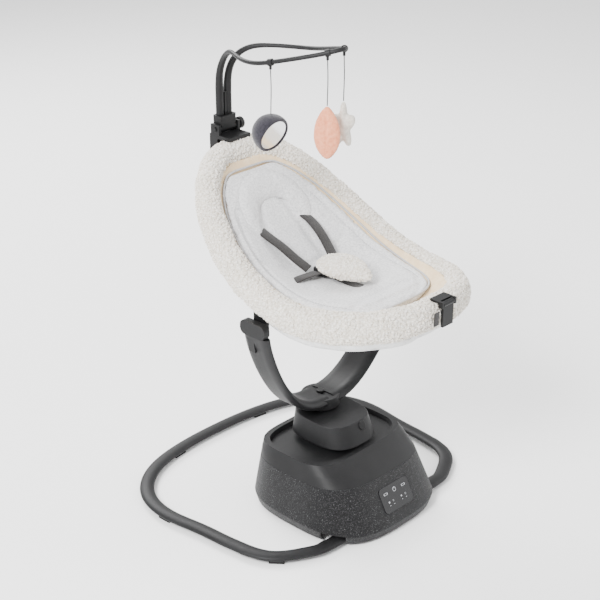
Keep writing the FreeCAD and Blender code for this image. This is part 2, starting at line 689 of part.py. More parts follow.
def rim_section(curve, at, half_thick, half_tall):
    """An upright oval across the rim's centre line."""
    point = curve.value(at)
    along = curve.tangent(at)[0]
    across = Vector(along.y, -along.x, 0).normalize()
    rise = along.cross(across).normalize()
    points = []
    for step in range(12):
        turn = 2 * math.pi * step / 12
        points.append(point + across * (half_thick * math.cos(turn)) + rise * (half_tall * math.sin(turn)))
    oval = Part.BSplineCurve()
    oval.interpolate(points, PeriodicFlag=True)
    return Part.Wire([oval.toShape()])


def rim_tube(curve, start, end, count, half_thick, half_tall):
    """Part of the rim's roll or tube, between two shares of the way round."""
    span = curve.LastParameter - curve.FirstParameter
    wires = []
    for step in range(count + 1):
        at = (start + (end - start) * step / count) % 1.0
        wires.append(rim_section(curve, curve.FirstParameter + span * at, half_thick, half_tall))
    return Part.makeLoft(wires, True, False)


def trough_line(stations, y):
    """Height of the trough's middle line at y, through (y, height) stations."""
    for (y_low, z_low), (y_high, z_high) in zip(stations, stations[1:]):
        if y <= y_high:
            share = max(0.0, (y - y_low) / (y_high - y_low))
            return blend(z_low, z_high, share)
    return stations[-1][1]


SHELL_FLOOR = [(-228.0, 455.0), (-200.0, 442.0), (-160.0, 430.0), (-100.0, 420.0), (-40.0, 409.0),
               (20.0, 402.0), (70.0, 407.0), (110.0, 428.0), (160.0, 470.0), (210.0, 525.0),
               (250.0, 568.0), (285.0, 604.0)]
TROUGH_POWER = 3.2
TROUGH_GRID = [-200.0, -194.0, -160.0, -117.0, -74.0, -31.0, 12.0, 55.0, 98.0, 141.0, 184.0, 227.0,
               250.0, 264.0, 270.0, 276.0]
EDGE_RISE = 4.0
END_CLIMB = 0.9
SWELL_END = 190.0
SWELL_START = 100.0


def half_span(y, inset):
    """Half the seat's width at y, inside the crest by inset."""
    power = 2.4
    ends = dim("seat_rear") if y >= dim("seat_middle") else dim("seat_front")
    share = abs(y - dim("seat_middle")) / (ends - inset)
    return (dim("seat_half_width") - inset) * max(0.02, 1 - min(0.999, share) ** power) ** (1 / power)


def layer_height(share, y, inset, drop, lift):
    """Height of a layer at y, at a share of its half width: a dish that climbs to the rim all round."""
    top = crest_height(y) - drop
    bottom = min(trough_line(SHELL_FLOOR, y) + lift, top - EDGE_RISE)
    ends = dim("seat_rear") if y >= dim("seat_middle") else dim("seat_front")
    end_share = min(1.0, abs(y - dim("seat_middle")) / (ends - inset))
    bottom = blend(bottom, top, END_CLIMB * end_share ** TROUGH_POWER)
    return bottom + (top - bottom) * abs(share) ** TROUGH_POWER


def swell(y):
    """Extra height of the cushion's upper face, full over the seat and gone at the head."""
    return dim("insert_swell") * min(1.0, max(0.0, (SWELL_END - y) / (SWELL_END - SWELL_START)))


def trough_curve(y, inset, drop, lift, reverse):
    """One layer's U across the seat, from edge to edge."""
    half = half_span(y, inset)
    points = [Vector(half * step / 6, y, layer_height(step / 6, y, inset, drop,
            lift)) for step in range(-6, 7)]
    if reverse:
        points.reverse()
    curve = Part.BSplineCurve()
    curve.interpolate(points)
    return curve.toShape()


def trough(outer, inner, front, rear, plump=False):
    """A layer of the seat between two U curves, each (inset, drop, lift)."""
    wires = []
    for y in TROUGH_GRID:
        if y < front or y > rear:
            continue
        extra = swell(y) if plump else 0.0
        low = trough_curve(y, *outer, False)
        high = trough_curve(y, inner[0], inner[1], inner[2] + extra, True)
        right = Part.LineSegment(low.Vertexes[-1].Point, high.Vertexes[0].Point).toShape()
        left = Part.LineSegment(high.Vertexes[-1].Point, low.Vertexes[0].Point).toShape()
        wires.append(Part.Wire([low, right, high, left]))
    return Part.makeLoft(wires, True, True)


LINING_DROP = 10.0
CUSHION_DROP = 10.0


def seat_layers():
    """The moulded shell, lining and cushion, nested from outside in."""
    gap = dim("soft_gap")
    drop = dim("rim_drop") + dim("rim_half_tall") + 8.0
    inside = dim("rim_half_thick") + gap
    shell = trough((7.0, drop, 0.0), (inside, drop, dim("shell_thick")), TROUGH_GRID[0], TROUGH_GRID[-1])
    keep(feature("SeatShell", shell), "seat_outer_cover")
    lift = dim("shell_thick") + gap
    inset = inside + 5.0
    thick = dim("lining_thick")
    lining = trough((inset, LINING_DROP, lift), (inset + thick, LINING_DROP, lift + thick),
                    TROUGH_GRID[1], TROUGH_GRID[-2])
    keep(feature("SeatLining", lining), "inner_lining")
    lift += thick + gap
    inset += thick + gap
    insert = trough((inset, LINING_DROP, lift), (inset + dim("insert_thick"), CUSHION_DROP,
                                                 lift + dim("insert_thick")),
                    TROUGH_GRID[2], TROUGH_GRID[-3], True)
    keep(feature("SeatInsert", insert), "seat_insert")


def frame_curve():
    return rim_curve(2.0, dim("rim_drop"))


def rim_parts():
    curve = frame_curve()
    radius = dim("frame_tube_radius")
    slots = []
    for sign in (-1, 1):
        x = sign * (dim("seat_half_width") - 2.0)
        slots.append(box((x - 6.5, dim("arm_top_y") - 22.0, 430.0), (x + 6.5, dim("arm_top_y") + 22.0,
                506.0)))
    thick, tall = dim("rim_half_thick"), dim("rim_half_tall")
    frame = []
    rolls = []
    for start in (0.0, 0.25, 0.5, 0.75):
        roll = rim_tube(curve, start, start + 0.25, 8, thick, tall)
        core = rim_tube(curve, start, start + 0.25, 8, radius, radius)
        clear = rim_tube(curve, start - 0.03125, start + 0.28125, 10, radius + 0.3, radius + 0.3)
        rolls.append(roll.cut(clear).cut(Part.makeCompound(slots)))
        frame.append(core)
    keep(feature("FleeceRim", Part.makeCompound(rolls)), "fleece_rim")
    keep(feature("SeatFrameTube", Part.makeCompound(frame)), "seat_frame_tube")


def cushion_top(x, y):
    """Height of the seat cushion's upper face."""
    gap = dim("soft_gap")
    inset = dim("rim_half_thick") + 2 * gap + 5.0 + dim("lining_thick") + dim("insert_thick")
    lift = dim("shell_thick") + dim("lining_thick") + dim("insert_thick") + 2 * gap
    return layer_height(x / half_span(y, inset), y, inset, CUSHION_DROP, lift + swell(y))


def strap(points, across, wide, thick):
    """A flat strap through points, its width along across."""
    wires = []
    for index, point in enumerate(points):
        ahead = points[min(index + 1, len(points) - 1)]
        behind = points[max(index - 1, 0)]
        along = (ahead - behind).normalize()
        side = (across - along * across.dot(along)).normalize()
        rise = along.cross(side).normalize()
        corners = [point + side * (a * wide / 2) + rise * (b * thick / 2)
                   for a, b in ((-1, -1), (1, -1), (1, 1), (-1, 1))]
        wires.append(Part.makePolygon(corners + corners[:1]))
    return Part.makeLoft(wires, True, True)


def harness():
    wide = dim("strap_wide")
    thick = dim("strap_thick")
    straps = []
    for sign in SIDES.values():
        start = Vector(sign * 60.0, 176.0, cushion_top(60.0, 176.0) + 5.0)
        route = [start, Vector(sign * 60.0, 152.0, cushion_top(60.0, 152.0) + 22.0),
                 Vector(sign * 54.0, 122.0, cushion_top(54.0, 122.0) + 26.0),
                 Vector(sign * 46.0, 92.0, cushion_top(46.0, 92.0) + 24.0),
                 Vector(sign * 36.0, 68.0, cushion_top(36.0, 68.0) + 22.0)]
        straps.append(strap(route, ACROSS_VECTOR, wide, thick))
        waist = [Vector(sign * 34.0, 52.0, cushion_top(34.0, 52.0) + 16.0),
                 Vector(sign * 62.0, 56.0, cushion_top(62.0, 56.0) + 11.4),
                 Vector(sign * 92.0, 62.0, cushion_top(92.0, 62.0) + 8.0)]
        straps.append(strap(waist, Vector(0, 1, 0), wide, thick))
    keep(feature("HarnessStraps", Part.makeCompound(straps)), "harness_straps")
    floor = cushion_top(0.0, 60.0)
    buckle = rounded_slab(dim("buckle_wide"), 34.0, 12.0, 6.0)
    buckle.Placement = Placement(Vector(0, 52.0, floor + 8.0), Rotation())
    keep(feature("Buckle", buckle), "harness_buckle")
    crotch = [Vector(0, -62.0, cushion_top(0, -62.0) + 2.0), Vector(0, -20.0, cushion_top(0, -20.0) + 2.6),
              Vector(0, 42.0, floor + 6.2)]
    keep(feature("CrotchStrap", strap(crotch, ACROSS_VECTOR, wide, thick)), "crotch_strap")
    wires = []
    for y, half, lift in ((-66.0, 18.0, 5.2), (-50.0, 27.0, 6.4), (-20.0, 34.0, 9.0), (14.0, 42.0, 21.3),
                          (34.0, 45.0, 23.6), (46.0, 46.0, 22.4),
                          (64.0, 34.0, 21.0)):
        centre = Vector(0, y, max(cushion_top(0, y), floor - 6.0) + lift + 7.0)
        oval = Part.Ellipse(centre, half, 7.5)
        shape = oval.toShape()
        shape.rotate(centre, ACROSS_VECTOR, 90)
        wires.append(Part.Wire([shape]))
    keep(feature("CrotchPad", Part.makeLoft(wires, True, True)), "crotch_pad")


def head_hug():
    """The horseshoe head cushion on the back of the seat insert."""
    radius, thick, sweep = 48.0, 9.0, 236.0
    slope = 49.0
    ring = Part.makeTorus(radius, thick, Vector(0, 0, 0), Vector(0, 0, 1), -180, 180, sweep)
    turn = Rotation(ACROSS_VECTOR, slope).multiply(Rotation(Vector(0, 0, 1), 90 - sweep / 2))
    middle = Vector(0, 200.0, cushion_top(0.0, 200.0) + 18.6)
    ring.Placement = Placement(middle, turn)
    keep(feature("HeadHug", ring), "head_hug_cushion")


def seat_brackets():
    """Plates from the rim tube down to the recline pins."""
    mid = dim("seat_half_width") - 2.0
    y = dim("arm_top_y")
    tube_low = crest_height(y) - dim("rim_drop") - dim("frame_tube_radius")
    low = (mid - 4.5, y - 16.0, dim("pivot_height") - 14.0)
    high = (mid + 4.5, y + 16.0, tube_low + 3.4)
    plate = box(low, high)
    plate = plate.makeFillet(6.0, [e for e in plate.Edges if abs(e.BoundBox.XLength - 9.0) < 0.1
                                   and e.BoundBox.ZMax < dim("pivot_height")])
    plate = plate.cut(Part.makeCylinder(dim("recline_pin_radius") + dim("run_gap"), 40.0,
                                        Vector(mid - 20.0, y, dim("pivot_height")), ACROSS_VECTOR))
    clear = dim("frame_tube_radius") + 0.3
    plate = plate.cut(rim_tube(frame_curve(), -0.0625, 0.0625, 4, clear, clear))
    keep(feature("SeatBrackets", Part.makeCompound([plate, mirrored(plate)])), "seat_brackets")


hinge_pins = []
sewn_tags = []


def foot_lever():
    """Recline lever: a hook over the foot end with a paddle that lifts."""
    front = dim("seat_middle") - dim("seat_front") + 2.0
    face = front - dim("rim_half_thick") - 0.3
    top = crest_height(front) - 0.6
    wide = dim("lever_wide")
    thick = dim("lever_thick")
    bridge = box((-wide / 2, face, top), (wide / 2, front, top + 4.0))
    ears = [box((x - 2.5, face - 10.0, top - 8.0), (x + 2.5, face + 0.0, top + 4.0))
            for x in (-wide / 2 + 2.5, wide / 2 - 2.5)]
    pin_at = Vector(-wide / 2, face - 5.5, top - 2.0)
    bore = Part.makeCylinder(dim("lever_pin_radius"), wide, pin_at, ACROSS_VECTOR)
    keep(feature("LeverBracket", bridge.fuse(ears).cut(bore)), "lever_bracket")
    hinge_pins.append(Part.makeCylinder(dim("lever_pin_radius"), wide, pin_at, ACROSS_VECTOR))
    barrel = Part.makeCylinder(dim("lever_pin_radius") + 2.2, wide - 11.0, pin_at + Vector(5.5, 0, 0),
                               ACROSS_VECTOR)
    paddle = box((-wide / 2 + 5.5, face - 5.5 - thick / 2, top - dim("lever_drop")),
                 (wide / 2 - 5.5, face - 5.5 + thick / 2, top - 2.0))
    paddle = paddle.makeFillet(2.0,
            [e for e in paddle.Edges if e.BoundBox.ZMax < top - dim("lever_drop") + 1])
    lever = barrel.fuse(paddle).cut(Part.makeCylinder(dim("lever_pin_radius") + dim("run_gap"), wide, pin_at,
                                                      ACROSS_VECTOR))
    keep(feature("ReclineLever", lever), "recline_lever")
    tab = box((-wide / 2 - 20.0, face, top - 38.0), (-wide / 2 - 6.0, face + 1.4, top - 12.0))
    sewn_tags.append(tab)


def side_tag():
    tag = Part.makeBox(26.0, 1.4, 12.0, Vector(-13.0, 0, -6.0))
    outside = 2.1 - dim("rim_half_thick")
    out = crest_point(math.radians(62), outside, 25.0)
    ahead = crest_point(math.radians(66), outside, 25.0)
    flow = ahead - out
    heading = math.degrees(math.atan2(flow.y, flow.x))
    tag.Placement = Placement(out, Rotation(Vector(0, 0, 1), heading - 180))
    sewn_tags.append(tag)


# ---------------------------------------------------------------- toy arch
LOOP_ROUTE = [(10.8, 333.6, 728.0), (10.8, 333.6, 762.0), (10.9, 333.6, 798.0), (12.8, 328.0, 838.0),
              (18.0, 309.0, 868.0), (29.0, 284.0, 884.0), (44.0, 256.0, 889.0), (61.0, 224.0, 890.0),
              (72.0, 192.0, 891.0), (75.0, 162.0, 894.0), (69.0, 132.0, 900.0), (56.0, 96.0, 909.0),
              (40.0, 62.0, 918.0), (22.0, 34.0, 926.0), (8.0, 19.0, 931.0), (0.0, 16.0, 932.0)]
HANGER_SPOTS = {"mirror": (-1, 10), "leaf": (-1, 13), "star": (1, 13)}


def loop_curve():
    curve = Part.BSplineCurve()
    curve.interpolate([Vector(*point) for point in LOOP_ROUTE], InitialTangent=Vector(0, 0, 1),
                      FinalTangent=Vector(-1, 0, 0))
    return curve


def round_wire(point, along, radius):
    return Part.Wire([Part.Circle(point, along, radius).toShape()])


def arch_tubes():
    curve = loop_curve()
    first, last = curve.FirstParameter, curve.LastParameter
    wires = []
    count = 3 * len(LOOP_ROUTE)
    for step in range(count + 1):
        share = step / count
        at = first + (last - first) * share
        thin = min(1.0, max(0.0, (share - 0.15) / 0.3))
        radius = blend(dim("post_radius"), dim("loop_radius"), thin)
        wires.append(round_wire(curve.value(at), curve.tangent(at)[0], radius))
    tube = Part.makeLoft(wires, True, False)
    keep(feature("ArchTubes", Part.makeCompound([tube, mirrored(tube)])), "arch_tubes")


WEB_TOP = 792.0
BARREL_RADIUS = 9.4


def arch_mount():
    y = dim("arch_y")
    front = dim("seat_middle") + dim("seat_rear") - 2.0
    back = front + dim("rim_half_thick") + 0.6
    top = crest_height(dim("seat_middle") + dim("seat_rear")) + 1.0
    wide = dim("clamp_wide") / 2
    jaw = box((-wide, back, top - 34.0), (wide, back + 22.0, top + 6.0))
    saddle = box((-wide, front - 14.0, top - 1.7), (wide, back + 22.0, top + 6.0))
    ears = [box((x - 3.0, y - 12.0, top), (x + 3.0, y + 12.0, top + 26.0)) for x in (-wide + 3.0,
            wide - 3.0)]
    pivot = Vector(-wide - 4.0, y, top + 16.0)
    bore = Part.makeCylinder(dim("tilt_pin_radius"), 2 * wide + 20.0, pivot, ACROSS_VECTOR)
    clamp = jaw.fuse([saddle] + ears)
    clamp = clamp.makeFillet(3.0, [e for e in clamp.Edges if abs(e.BoundBox.XLength - 2 * wide) < 0.1][:2])
    keep(feature("ArchClamp", clamp.cut(bore)), "arch_clamp")
    hinge_pins.append(Part.makeCylinder(dim("tilt_pin_radius"), 2 * wide + 6.0,
                                        Vector(-wide - 2.0, y, top + 16.0), ACROSS_VECTOR))
    axis_z = top + 16.0
    sleeve = box((-21.5, y - 10.0, axis_z + 8.0), (21.5, y + 14.0, top + 8.0 + dim("sleeve_height")))
    sleeve = sleeve.makeFillet(4.0, [e for e in sleeve.Edges if e.BoundBox.ZLength > 10])
    neck = box((-18.0, y - BARREL_RADIUS, axis_z), (18.0, y + BARREL_RADIUS, axis_z + 9.0))
    reach = wide - 6.2
    barrel = Part.makeCylinder(BARREL_RADIUS, 2 * reach, Vector(-reach, y, axis_z), ACROSS_VECTOR)
    web = box((-2.6, y - 2.4, axis_z + 20.0), (2.6, y + 9.6, WEB_TOP))
    sleeve = sleeve.fuse([neck, barrel, web])
    post_x, post_y, post_z = LOOP_ROUTE[0]
    posts = [Part.makeCylinder(dim("post_radius") + 0.2, 60.0, Vector(sign * post_x, post_y, post_z - 0.2))
             for sign in (-1, 1)]
    sleeve = sleeve.cut(Part.makeCompound(posts)).cut(Part.makeCylinder(
        dim("tilt_pin_radius") + dim("run_gap"), 2 * wide + 20.0, pivot, ACROSS_VECTOR))
    keep(feature("PostSleeve", sleeve), "arch_post_sleeve")
    grip = Part.makeCylinder(dim("knob_radius"), 10.0, Vector(wide + 4.4, y, top + 16.0), ACROSS_VECTOR)
    rim = [e for e in grip.Edges if e.BoundBox.XMin > wide + 10.0]
    keep(feature("ArchKnob", grip.makeFillet(2.0, rim)), "arch_knob")


def hang_points():
    curve = loop_curve()
    spots = {}
    for toy, (sign, index) in HANGER_SPOTS.items():
        at = curve.parameter(Vector(*LOOP_ROUTE[index]))
        point = curve.value(at)
        along = curve.tangent(at)[0]
        spots[toy] = (Vector(sign * point.x, point.y, point.z), Vector(sign * along.x, along.y, along.z))
    return spots


EYE_DROP = 13.0


def toy_hangers():
    clips = []
    for point, along in hang_points().values():
        outer = Part.makeCylinder(dim("loop_radius") + 2.4, 9.0, point - along * 4.5, along)
        stem = Part.makeCylinder(2.6, EYE_DROP - 3.0, point - Vector(0, 0, EYE_DROP))
        bore = Part.makeCylinder(dim("loop_radius") + 0.35, 30.0, point - along * 15.0, along)
        clips.append(outer.fuse(stem).cut(bore))
    keep(feature("ToyHangers", Part.makeCompound(clips)), "toy_hangers")
    for toy, (point, along) in hang_points().items():
        top = point - Vector(0, 0, EYE_DROP + CORD_GAP)
        length = dim("cord_length")
        cord = Part.makeCylinder(dim("cord_radius"), length, top - Vector(0, 0, length))
        keep(feature("Cord" + toy.title(), cord), toy + "_toy_cord")


def ellipsoid(centre, across, wide, thick, tall):
    """A flattened ball whose width lies along across."""
    ball = Part.makeSphere(1.0)
    matrix = FreeCAD.Matrix()
    matrix.scale(wide / 2, thick / 2, tall / 2)
    ball = ball.transformGeometry(matrix)
    ball.Placement = Placement(centre, Rotation(Vector(0, 0, 1), math.degrees(math.atan2(across[1],
            across[0]))))
    return ball


MIRROR_WAY = (0.0, -0.91, -0.35)
CORD_GAP = 0.8


def toys():
    spots = hang_points()
    drop = EYE_DROP + CORD_GAP + dim("cord_length") + 0.2
    mirror_top = spots["mirror"][0] - Vector(0, 0, drop)
    radius = 36.0
    lean = Placement(mirror_top - Vector(0, 0, radius),
                     Rotation(Vector(0, 0, 1), Vector(*MIRROR_WAY)))
    dome = Part.makeSphere(radius).cut(Part.makeBox(200, 200, 100, Vector(-100, -100, 8.0)))
    dome = dome.cut(Part.makeCylinder(radius - 6.0, 20.0, Vector(0, 0, 5.0)))
    disc = Part.makeCylinder(radius - 6.3, 2.0, Vector(0, 0, 5.3))
    for name, label, shape in (("MirrorDome", "mirror_toy_body", dome), ("MirrorDisc", "mirror_disc", disc)):
        shape.Placement = lean
        keep(feature(name, shape), label)
    leaf_top = spots["leaf"][0] - Vector(0, 0, drop)
    keep(feature("LeafToy", ellipsoid(leaf_top - Vector(0, 0, 51.0), (0.5, -0.86), 50.0, 22.0, 102.0)),
         "leaf_toy_body")
    star_top = spots["star"][0] - Vector(0, 0, drop)
    keep(feature("StarToy", ellipsoid(star_top - Vector(0, 0, 47.0), (0.5, -0.86), 42.0, 24.0, 94.0)),
         "star_toy_body")


seat_layers()
rim_parts()
head_hug()
harness()
seat_brackets()
foot_lever()
side_tag()
arch_tubes()
arch_mount()
toy_hangers()
toys()
keep(feature("HingePins", Part.makeCompound(hinge_pins)), "hinge_pins")
keep(feature("SewnTags", Part.makeCompound(sewn_tags)), "sewn_tags")

doc.recompute()
for item in doc.Objects:
    if "Invalid" in item.State or "Error" in item.State:
        raise RuntimeError("%s failed: %s" % (item.Name, item.State))
for item in kept:
    if item.Shape.isNull() or not item.Shape.isValid():
        raise RuntimeError("%s has no valid shape" % item.Label)

os.makedirs("parts", exist_ok=True)
for item in kept:
    item.Shape.exportStep(os.path.join("parts", item.Label + ".step"))
print(len(kept), "sub-parts written")
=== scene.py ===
"""Looks for the baby swing: fleece, jersey, webbing, toys, moulded plastic and a pale studio."""
import math

import bmesh
import bpy
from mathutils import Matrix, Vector, noise


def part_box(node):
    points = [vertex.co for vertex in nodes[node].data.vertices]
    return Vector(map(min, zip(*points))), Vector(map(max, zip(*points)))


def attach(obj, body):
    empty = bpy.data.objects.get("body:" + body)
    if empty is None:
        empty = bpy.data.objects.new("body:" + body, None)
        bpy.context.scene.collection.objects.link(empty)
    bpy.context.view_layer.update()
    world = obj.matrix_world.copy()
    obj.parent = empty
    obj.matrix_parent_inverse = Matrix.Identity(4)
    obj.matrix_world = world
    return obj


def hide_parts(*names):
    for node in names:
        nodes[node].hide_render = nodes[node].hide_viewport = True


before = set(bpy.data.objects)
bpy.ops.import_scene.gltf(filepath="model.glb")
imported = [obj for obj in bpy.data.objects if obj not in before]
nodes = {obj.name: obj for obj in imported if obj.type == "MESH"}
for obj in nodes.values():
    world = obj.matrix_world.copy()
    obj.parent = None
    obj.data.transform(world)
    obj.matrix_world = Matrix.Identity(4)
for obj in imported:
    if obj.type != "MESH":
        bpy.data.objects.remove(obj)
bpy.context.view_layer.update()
MM = 0.001
UP = Vector((0, 0, 1))
WELD = 1e-6
CLOTH_PRESSURE = 4.0
CLOTH_FRAMES = 18
TUBE_SIDES = 10
EASED_STEPS = 10
MARK_SIDES = 28


# ------------------------------------------------------------------ studio
def camera_and_studio():
    data = bpy.data.cameras.new("View")
    data.lens = 84.0
    data.sensor_width = 36.0
    data.clip_end = 60.0
    camera = bpy.data.objects.new("View", data)
    camera.location = (-1.825, -1.637, 1.561)
    camera.rotation_mode = "QUATERNION"
    camera.rotation_quaternion = Vector((0.655, 0.632, -0.4147)).to_track_quat("-Z", "Y")
    bpy.context.scene.collection.objects.link(camera)
    bpy.context.scene.camera = camera

    floor = mesh_object("studio_floor", [(-9, -9, 0), (9, -9, 0), (9, 9, 0), (-9, 9, 0)], [(0, 1, 2, 3)])
    pale = Finish("PaleFloor")
    pale.surface(0.95, **{"Base Color": (0.96, 0.96, 0.96, 1)})
    floor.data.materials.append(pale.material)

    world = bpy.data.worlds.new("Studio")
    world.use_nodes = True
    world.node_tree.nodes["Background"].inputs["Color"].default_value = (1, 1, 1, 1)
    world.node_tree.nodes["Background"].inputs["Strength"].default_value = 1.35
    bpy.context.scene.world = world
    lamps = (("Key", (-2.7, -0.5, 2.5), 230.0, 1.1), ("Fill", (2.8, -1.4, 1.9), 60.0, 2.2),
             ("Back", (0.8, 3.0, 2.8), 200.0, 2.0))
    for name, place, power, size in lamps:
        light = bpy.data.lights.new(name, "AREA")
        light.energy = power
        light.size = size
        lamp = bpy.data.objects.new(name, light)
        lamp.location = place
        lamp.rotation_mode = "QUATERNION"
        lamp.rotation_quaternion = (Vector((0, 0, 0.45)) - Vector(place)).to_track_quat("-Z", "Y")
        bpy.context.scene.collection.objects.link(lamp)


# ------------------------------------------------------------------ shader arithmetic
class Wire:
    """A number flowing through a material, with the usual arithmetic."""

    def __init__(self, finish, socket):
        self.finish = finish
        self.socket = socket

    def maths(self, operation, *values):
        made = self.finish.node("ShaderNodeMath", {"operation": operation}, dict(enumerate(values)))
        return Wire(self.finish, made.outputs[0])

    def __add__(self, other):
        return self.maths("ADD", self, other)

    def __sub__(self, other):
        return self.maths("SUBTRACT", self, other)

    def __mul__(self, other):
        return self.maths("MULTIPLY", self, other)

    def __rsub__(self, other):
        return self.maths("SUBTRACT", other, self)

    def sine(self):
        return self.maths("SINE", self)


class Finish:
    """One material and the few kinds of node that build it."""

    def __init__(self, name):
        self.material = bpy.data.materials.new(name)
        self.material.use_nodes = True
        self.tree = self.material.node_tree
        self.tree.nodes.clear()

    def node(self, kind, settings=None, values=None):
        made = self.tree.nodes.new(kind)
        for key, value in (settings or {}).items():
            if key == "stops":
                for stop, (place, shade) in zip(made.color_ramp.elements, value):
                    stop.position = place
                    stop.color = (shade, shade, shade, 1)
            else:
                setattr(made, key, value)
        for key, value in (values or {}).items():
            if isinstance(value, Wire):
                self.tree.links.new(value.socket, made.inputs[key])
            else:
                made.inputs[key].default_value = value
        return made

    def wire(self, made, output=0):
        return Wire(self, made.outputs[output])

    def place(self, output="Object"):
        return self.wire(self.node("ShaderNodeTexCoord"), output)

    def cloth_way(self):
        """How far along and across the cloth a point lies, in metres."""
        parts = self.node("ShaderNodeSeparateXYZ", None, {0: self.place("UV")})
        return self.wire(parts, "X"), self.wire(parts, "Y")

    def noise(self, scale, detail=3.0, rough=0.55):
        return self.wire(self.node("ShaderNodeTexNoise", None, {
            "Vector": self.place(), "Scale": scale, "Detail": detail, "Roughness": rough}), "Fac")

    def cells(self, scale):
        return self.wire(self.node("ShaderNodeTexVoronoi", None, {
            "Vector": self.place(), "Scale": scale}), "Distance")

    def step(self, value, low, high):
        """Zero below low and one above high."""
        return self.wire(self.node("ShaderNodeMapRange", None, {
            "Value": value, "From Min": low, "From Max": high}))

    def mix(self, share, first, second):
        made = self.node("ShaderNodeMix", {"data_type": "RGBA"}, {"Factor": share, 6: first, 7: second})
        return self.wire(made, 2)

    def bump(self, height, strength, distance):
        made = self.node("ShaderNodeBump", None, {"Height": height, "Strength": strength,
                                                  "Distance": distance})
        return self.wire(made)

    def surface(self, roughness, **values):
        values["Roughness"] = roughness
        shader = self.node("ShaderNodeBsdfPrincipled", None, values)
        target = self.node("ShaderNodeOutputMaterial")
        self.tree.links.new(shader.outputs[0], target.inputs[0])
        return self.material


def shade(red, green, blue):
    return (red, green, blue, 1.0)


def moulded(name, colour, rough, grain=0.18):
    """Injection-moulded plastic: fine spark texture and faint handling marks."""
    made = Finish(name)
    marks = made.noise(9.0)
    spark = made.noise(1400.0, 2.0)
    lift = tuple(min(1.0, part * 1.35 + 0.004) for part in colour[:3]) + (1.0,)
    return made.surface(marks * 0.14 + (rough - 0.07), **{
        "Base Color": made.mix(made.step(marks, 0.35, 0.75), colour, lift),
        "Specular IOR Level": 0.22,
        "Normal": made.bump(spark, grain, 0.0004)})


def heathered(name, dark, light, pitch, fleck_scale, rough=0.9, sheen=0.25, knit=0.35, flecks=0.0):
    """Woven or knitted cloth whose threads run with its own map, in two mingled colours."""
    made = Finish(name)
    along, across = made.cloth_way()
    turns = 2 * math.pi / pitch
    warp = (along * turns).sine()
    weft = (across * turns).sine()
    mottle = made.step(made.noise(fleck_scale, 4.0, 0.7), 0.36, 0.64)
    base = made.mix(mottle, dark, light)
    if flecks:
        spots = made.step(made.noise(fleck_scale * 1.9, 2.0, 0.8), 0.60, 0.68)
        base = made.mix(spots * flecks, base, shade(0.2, 0.2, 0.205))
    weave = warp * weft * knit + mottle * 0.5
    return made.surface(mottle * 0.06 + (rough - 0.03), **{
        "Base Color": base, "Sheen Weight": sheen, "Sheen Roughness": 0.5, "Specular IOR Level": 0.2,
        "Normal": made.bump(weave, 0.45, 0.0007)})


def looped_fleece(name, hollow_shade, tip):
    made = Finish(name)
    curls = made.cells(210.0)
    soft = made.noise(38.0, 4.0, 0.6)
    # Painted shade: the gaps between the curls are coloured darker than the curl tips, as shade would fall
    # there; the soft noise adds random tone on top.
    shaded_gaps = made.step(curls, 0.05, 0.62)
    tone = made.mix(shaded_gaps * 0.8 + soft * 0.3, tip, hollow_shade)
    return made.surface(0.97, **{
        "Base Color": tone, "Sheen Weight": 0.35, "Sheen Roughness": 0.6, "Specular IOR Level": 0.1,
        "Subsurface Weight": 0.12, "Subsurface Radius": (0.004, 0.0035, 0.003),
        "Normal": made.bump(1 - curls, 0.6, 0.0015)})


def metal(name, colour, rough):
    made = Finish(name)
    brushed = made.noise(260.0, 2.0)
    return made.surface(brushed * 0.12 + rough, **{
        "Base Color": colour, "Metallic": 1.0, "Normal": made.bump(brushed, 0.08, 0.0003)})


def panel_gloss(name):
    made = Finish(name)
    smear = made.noise(14.0, 3.0)
    return made.surface(smear * 0.08 + 0.06, **{
        "Base Color": made.mix(smear, shade(0.006, 0.006, 0.007), shade(0.011, 0.011, 0.012)),
        "Coat Weight": 0.5, "Normal": made.bump(smear, 0.02, 0.0003)})


def glowing_print(name):
    made = Finish(name)
    edge = made.noise(300.0)
    return made.surface(0.5, **{"Base Color": made.mix(edge, shade(0.34, 0.35, 0.37), shade(0.46, 0.47,
            0.49))})


# ------------------------------------------------------------------ mesh helpers
def mesh_object(name, points, faces, uvs=None):
    mesh = bpy.data.meshes.new(name)
    mesh.from_pydata([tuple(point) for point in points], [], faces)
    if uvs:
        layer = mesh.uv_layers.new(name="Cloth")
        for loop in mesh.loops:
            layer.data[loop.index].uv = uvs[loop.vertex_index]
    mesh.update()
    made = bpy.data.objects.new(name, mesh)
    bpy.context.scene.collection.objects.link(made)
    return made


def finish_normals(piece):
    work = bmesh.new()
    work.from_mesh(piece.data)
    bmesh.ops.remove_doubles(work, verts=work.verts, dist=WELD)
    bmesh.ops.recalc_face_normals(work, faces=work.faces)
    work.to_mesh(piece.data)
    work.free()
    for face in piece.data.polygons:
        face.use_smooth = True
    return piece


def rings_to_mesh(name, rings, loop=False):
    """A skin over rings of points in millimetres; loop joins the last ring to the first."""
    count = len(rings[0])
    points = [Vector(point) * MM for ring in rings for point in ring]
    uvs = []
    run = 0.0
    for index, ring in enumerate(rings):
        if index:
            run += (Vector(ring[0]) - Vector(rings[index - 1][0])).length
        reach = 0.0
        for spot, point in enumerate(ring):
            if spot:
                reach += (Vector(point) - Vector(ring[spot - 1])).length
            uvs.append((run * MM, reach * MM))
    faces = []
    total = len(rings)
    for index in range(total if loop else total - 1):
        first = index * count
        second = (index + 1) % total * count
        for spot in range(count):
            ahead = (spot + 1) % count
            faces.append((first + spot, first + ahead, second + ahead, second + spot))
    if not loop:
        faces.append(tuple(range(count)))
        faces.append(tuple(reversed(range((total - 1) * count, total * count))))
    return finish_normals(mesh_object(name, points, faces, uvs))


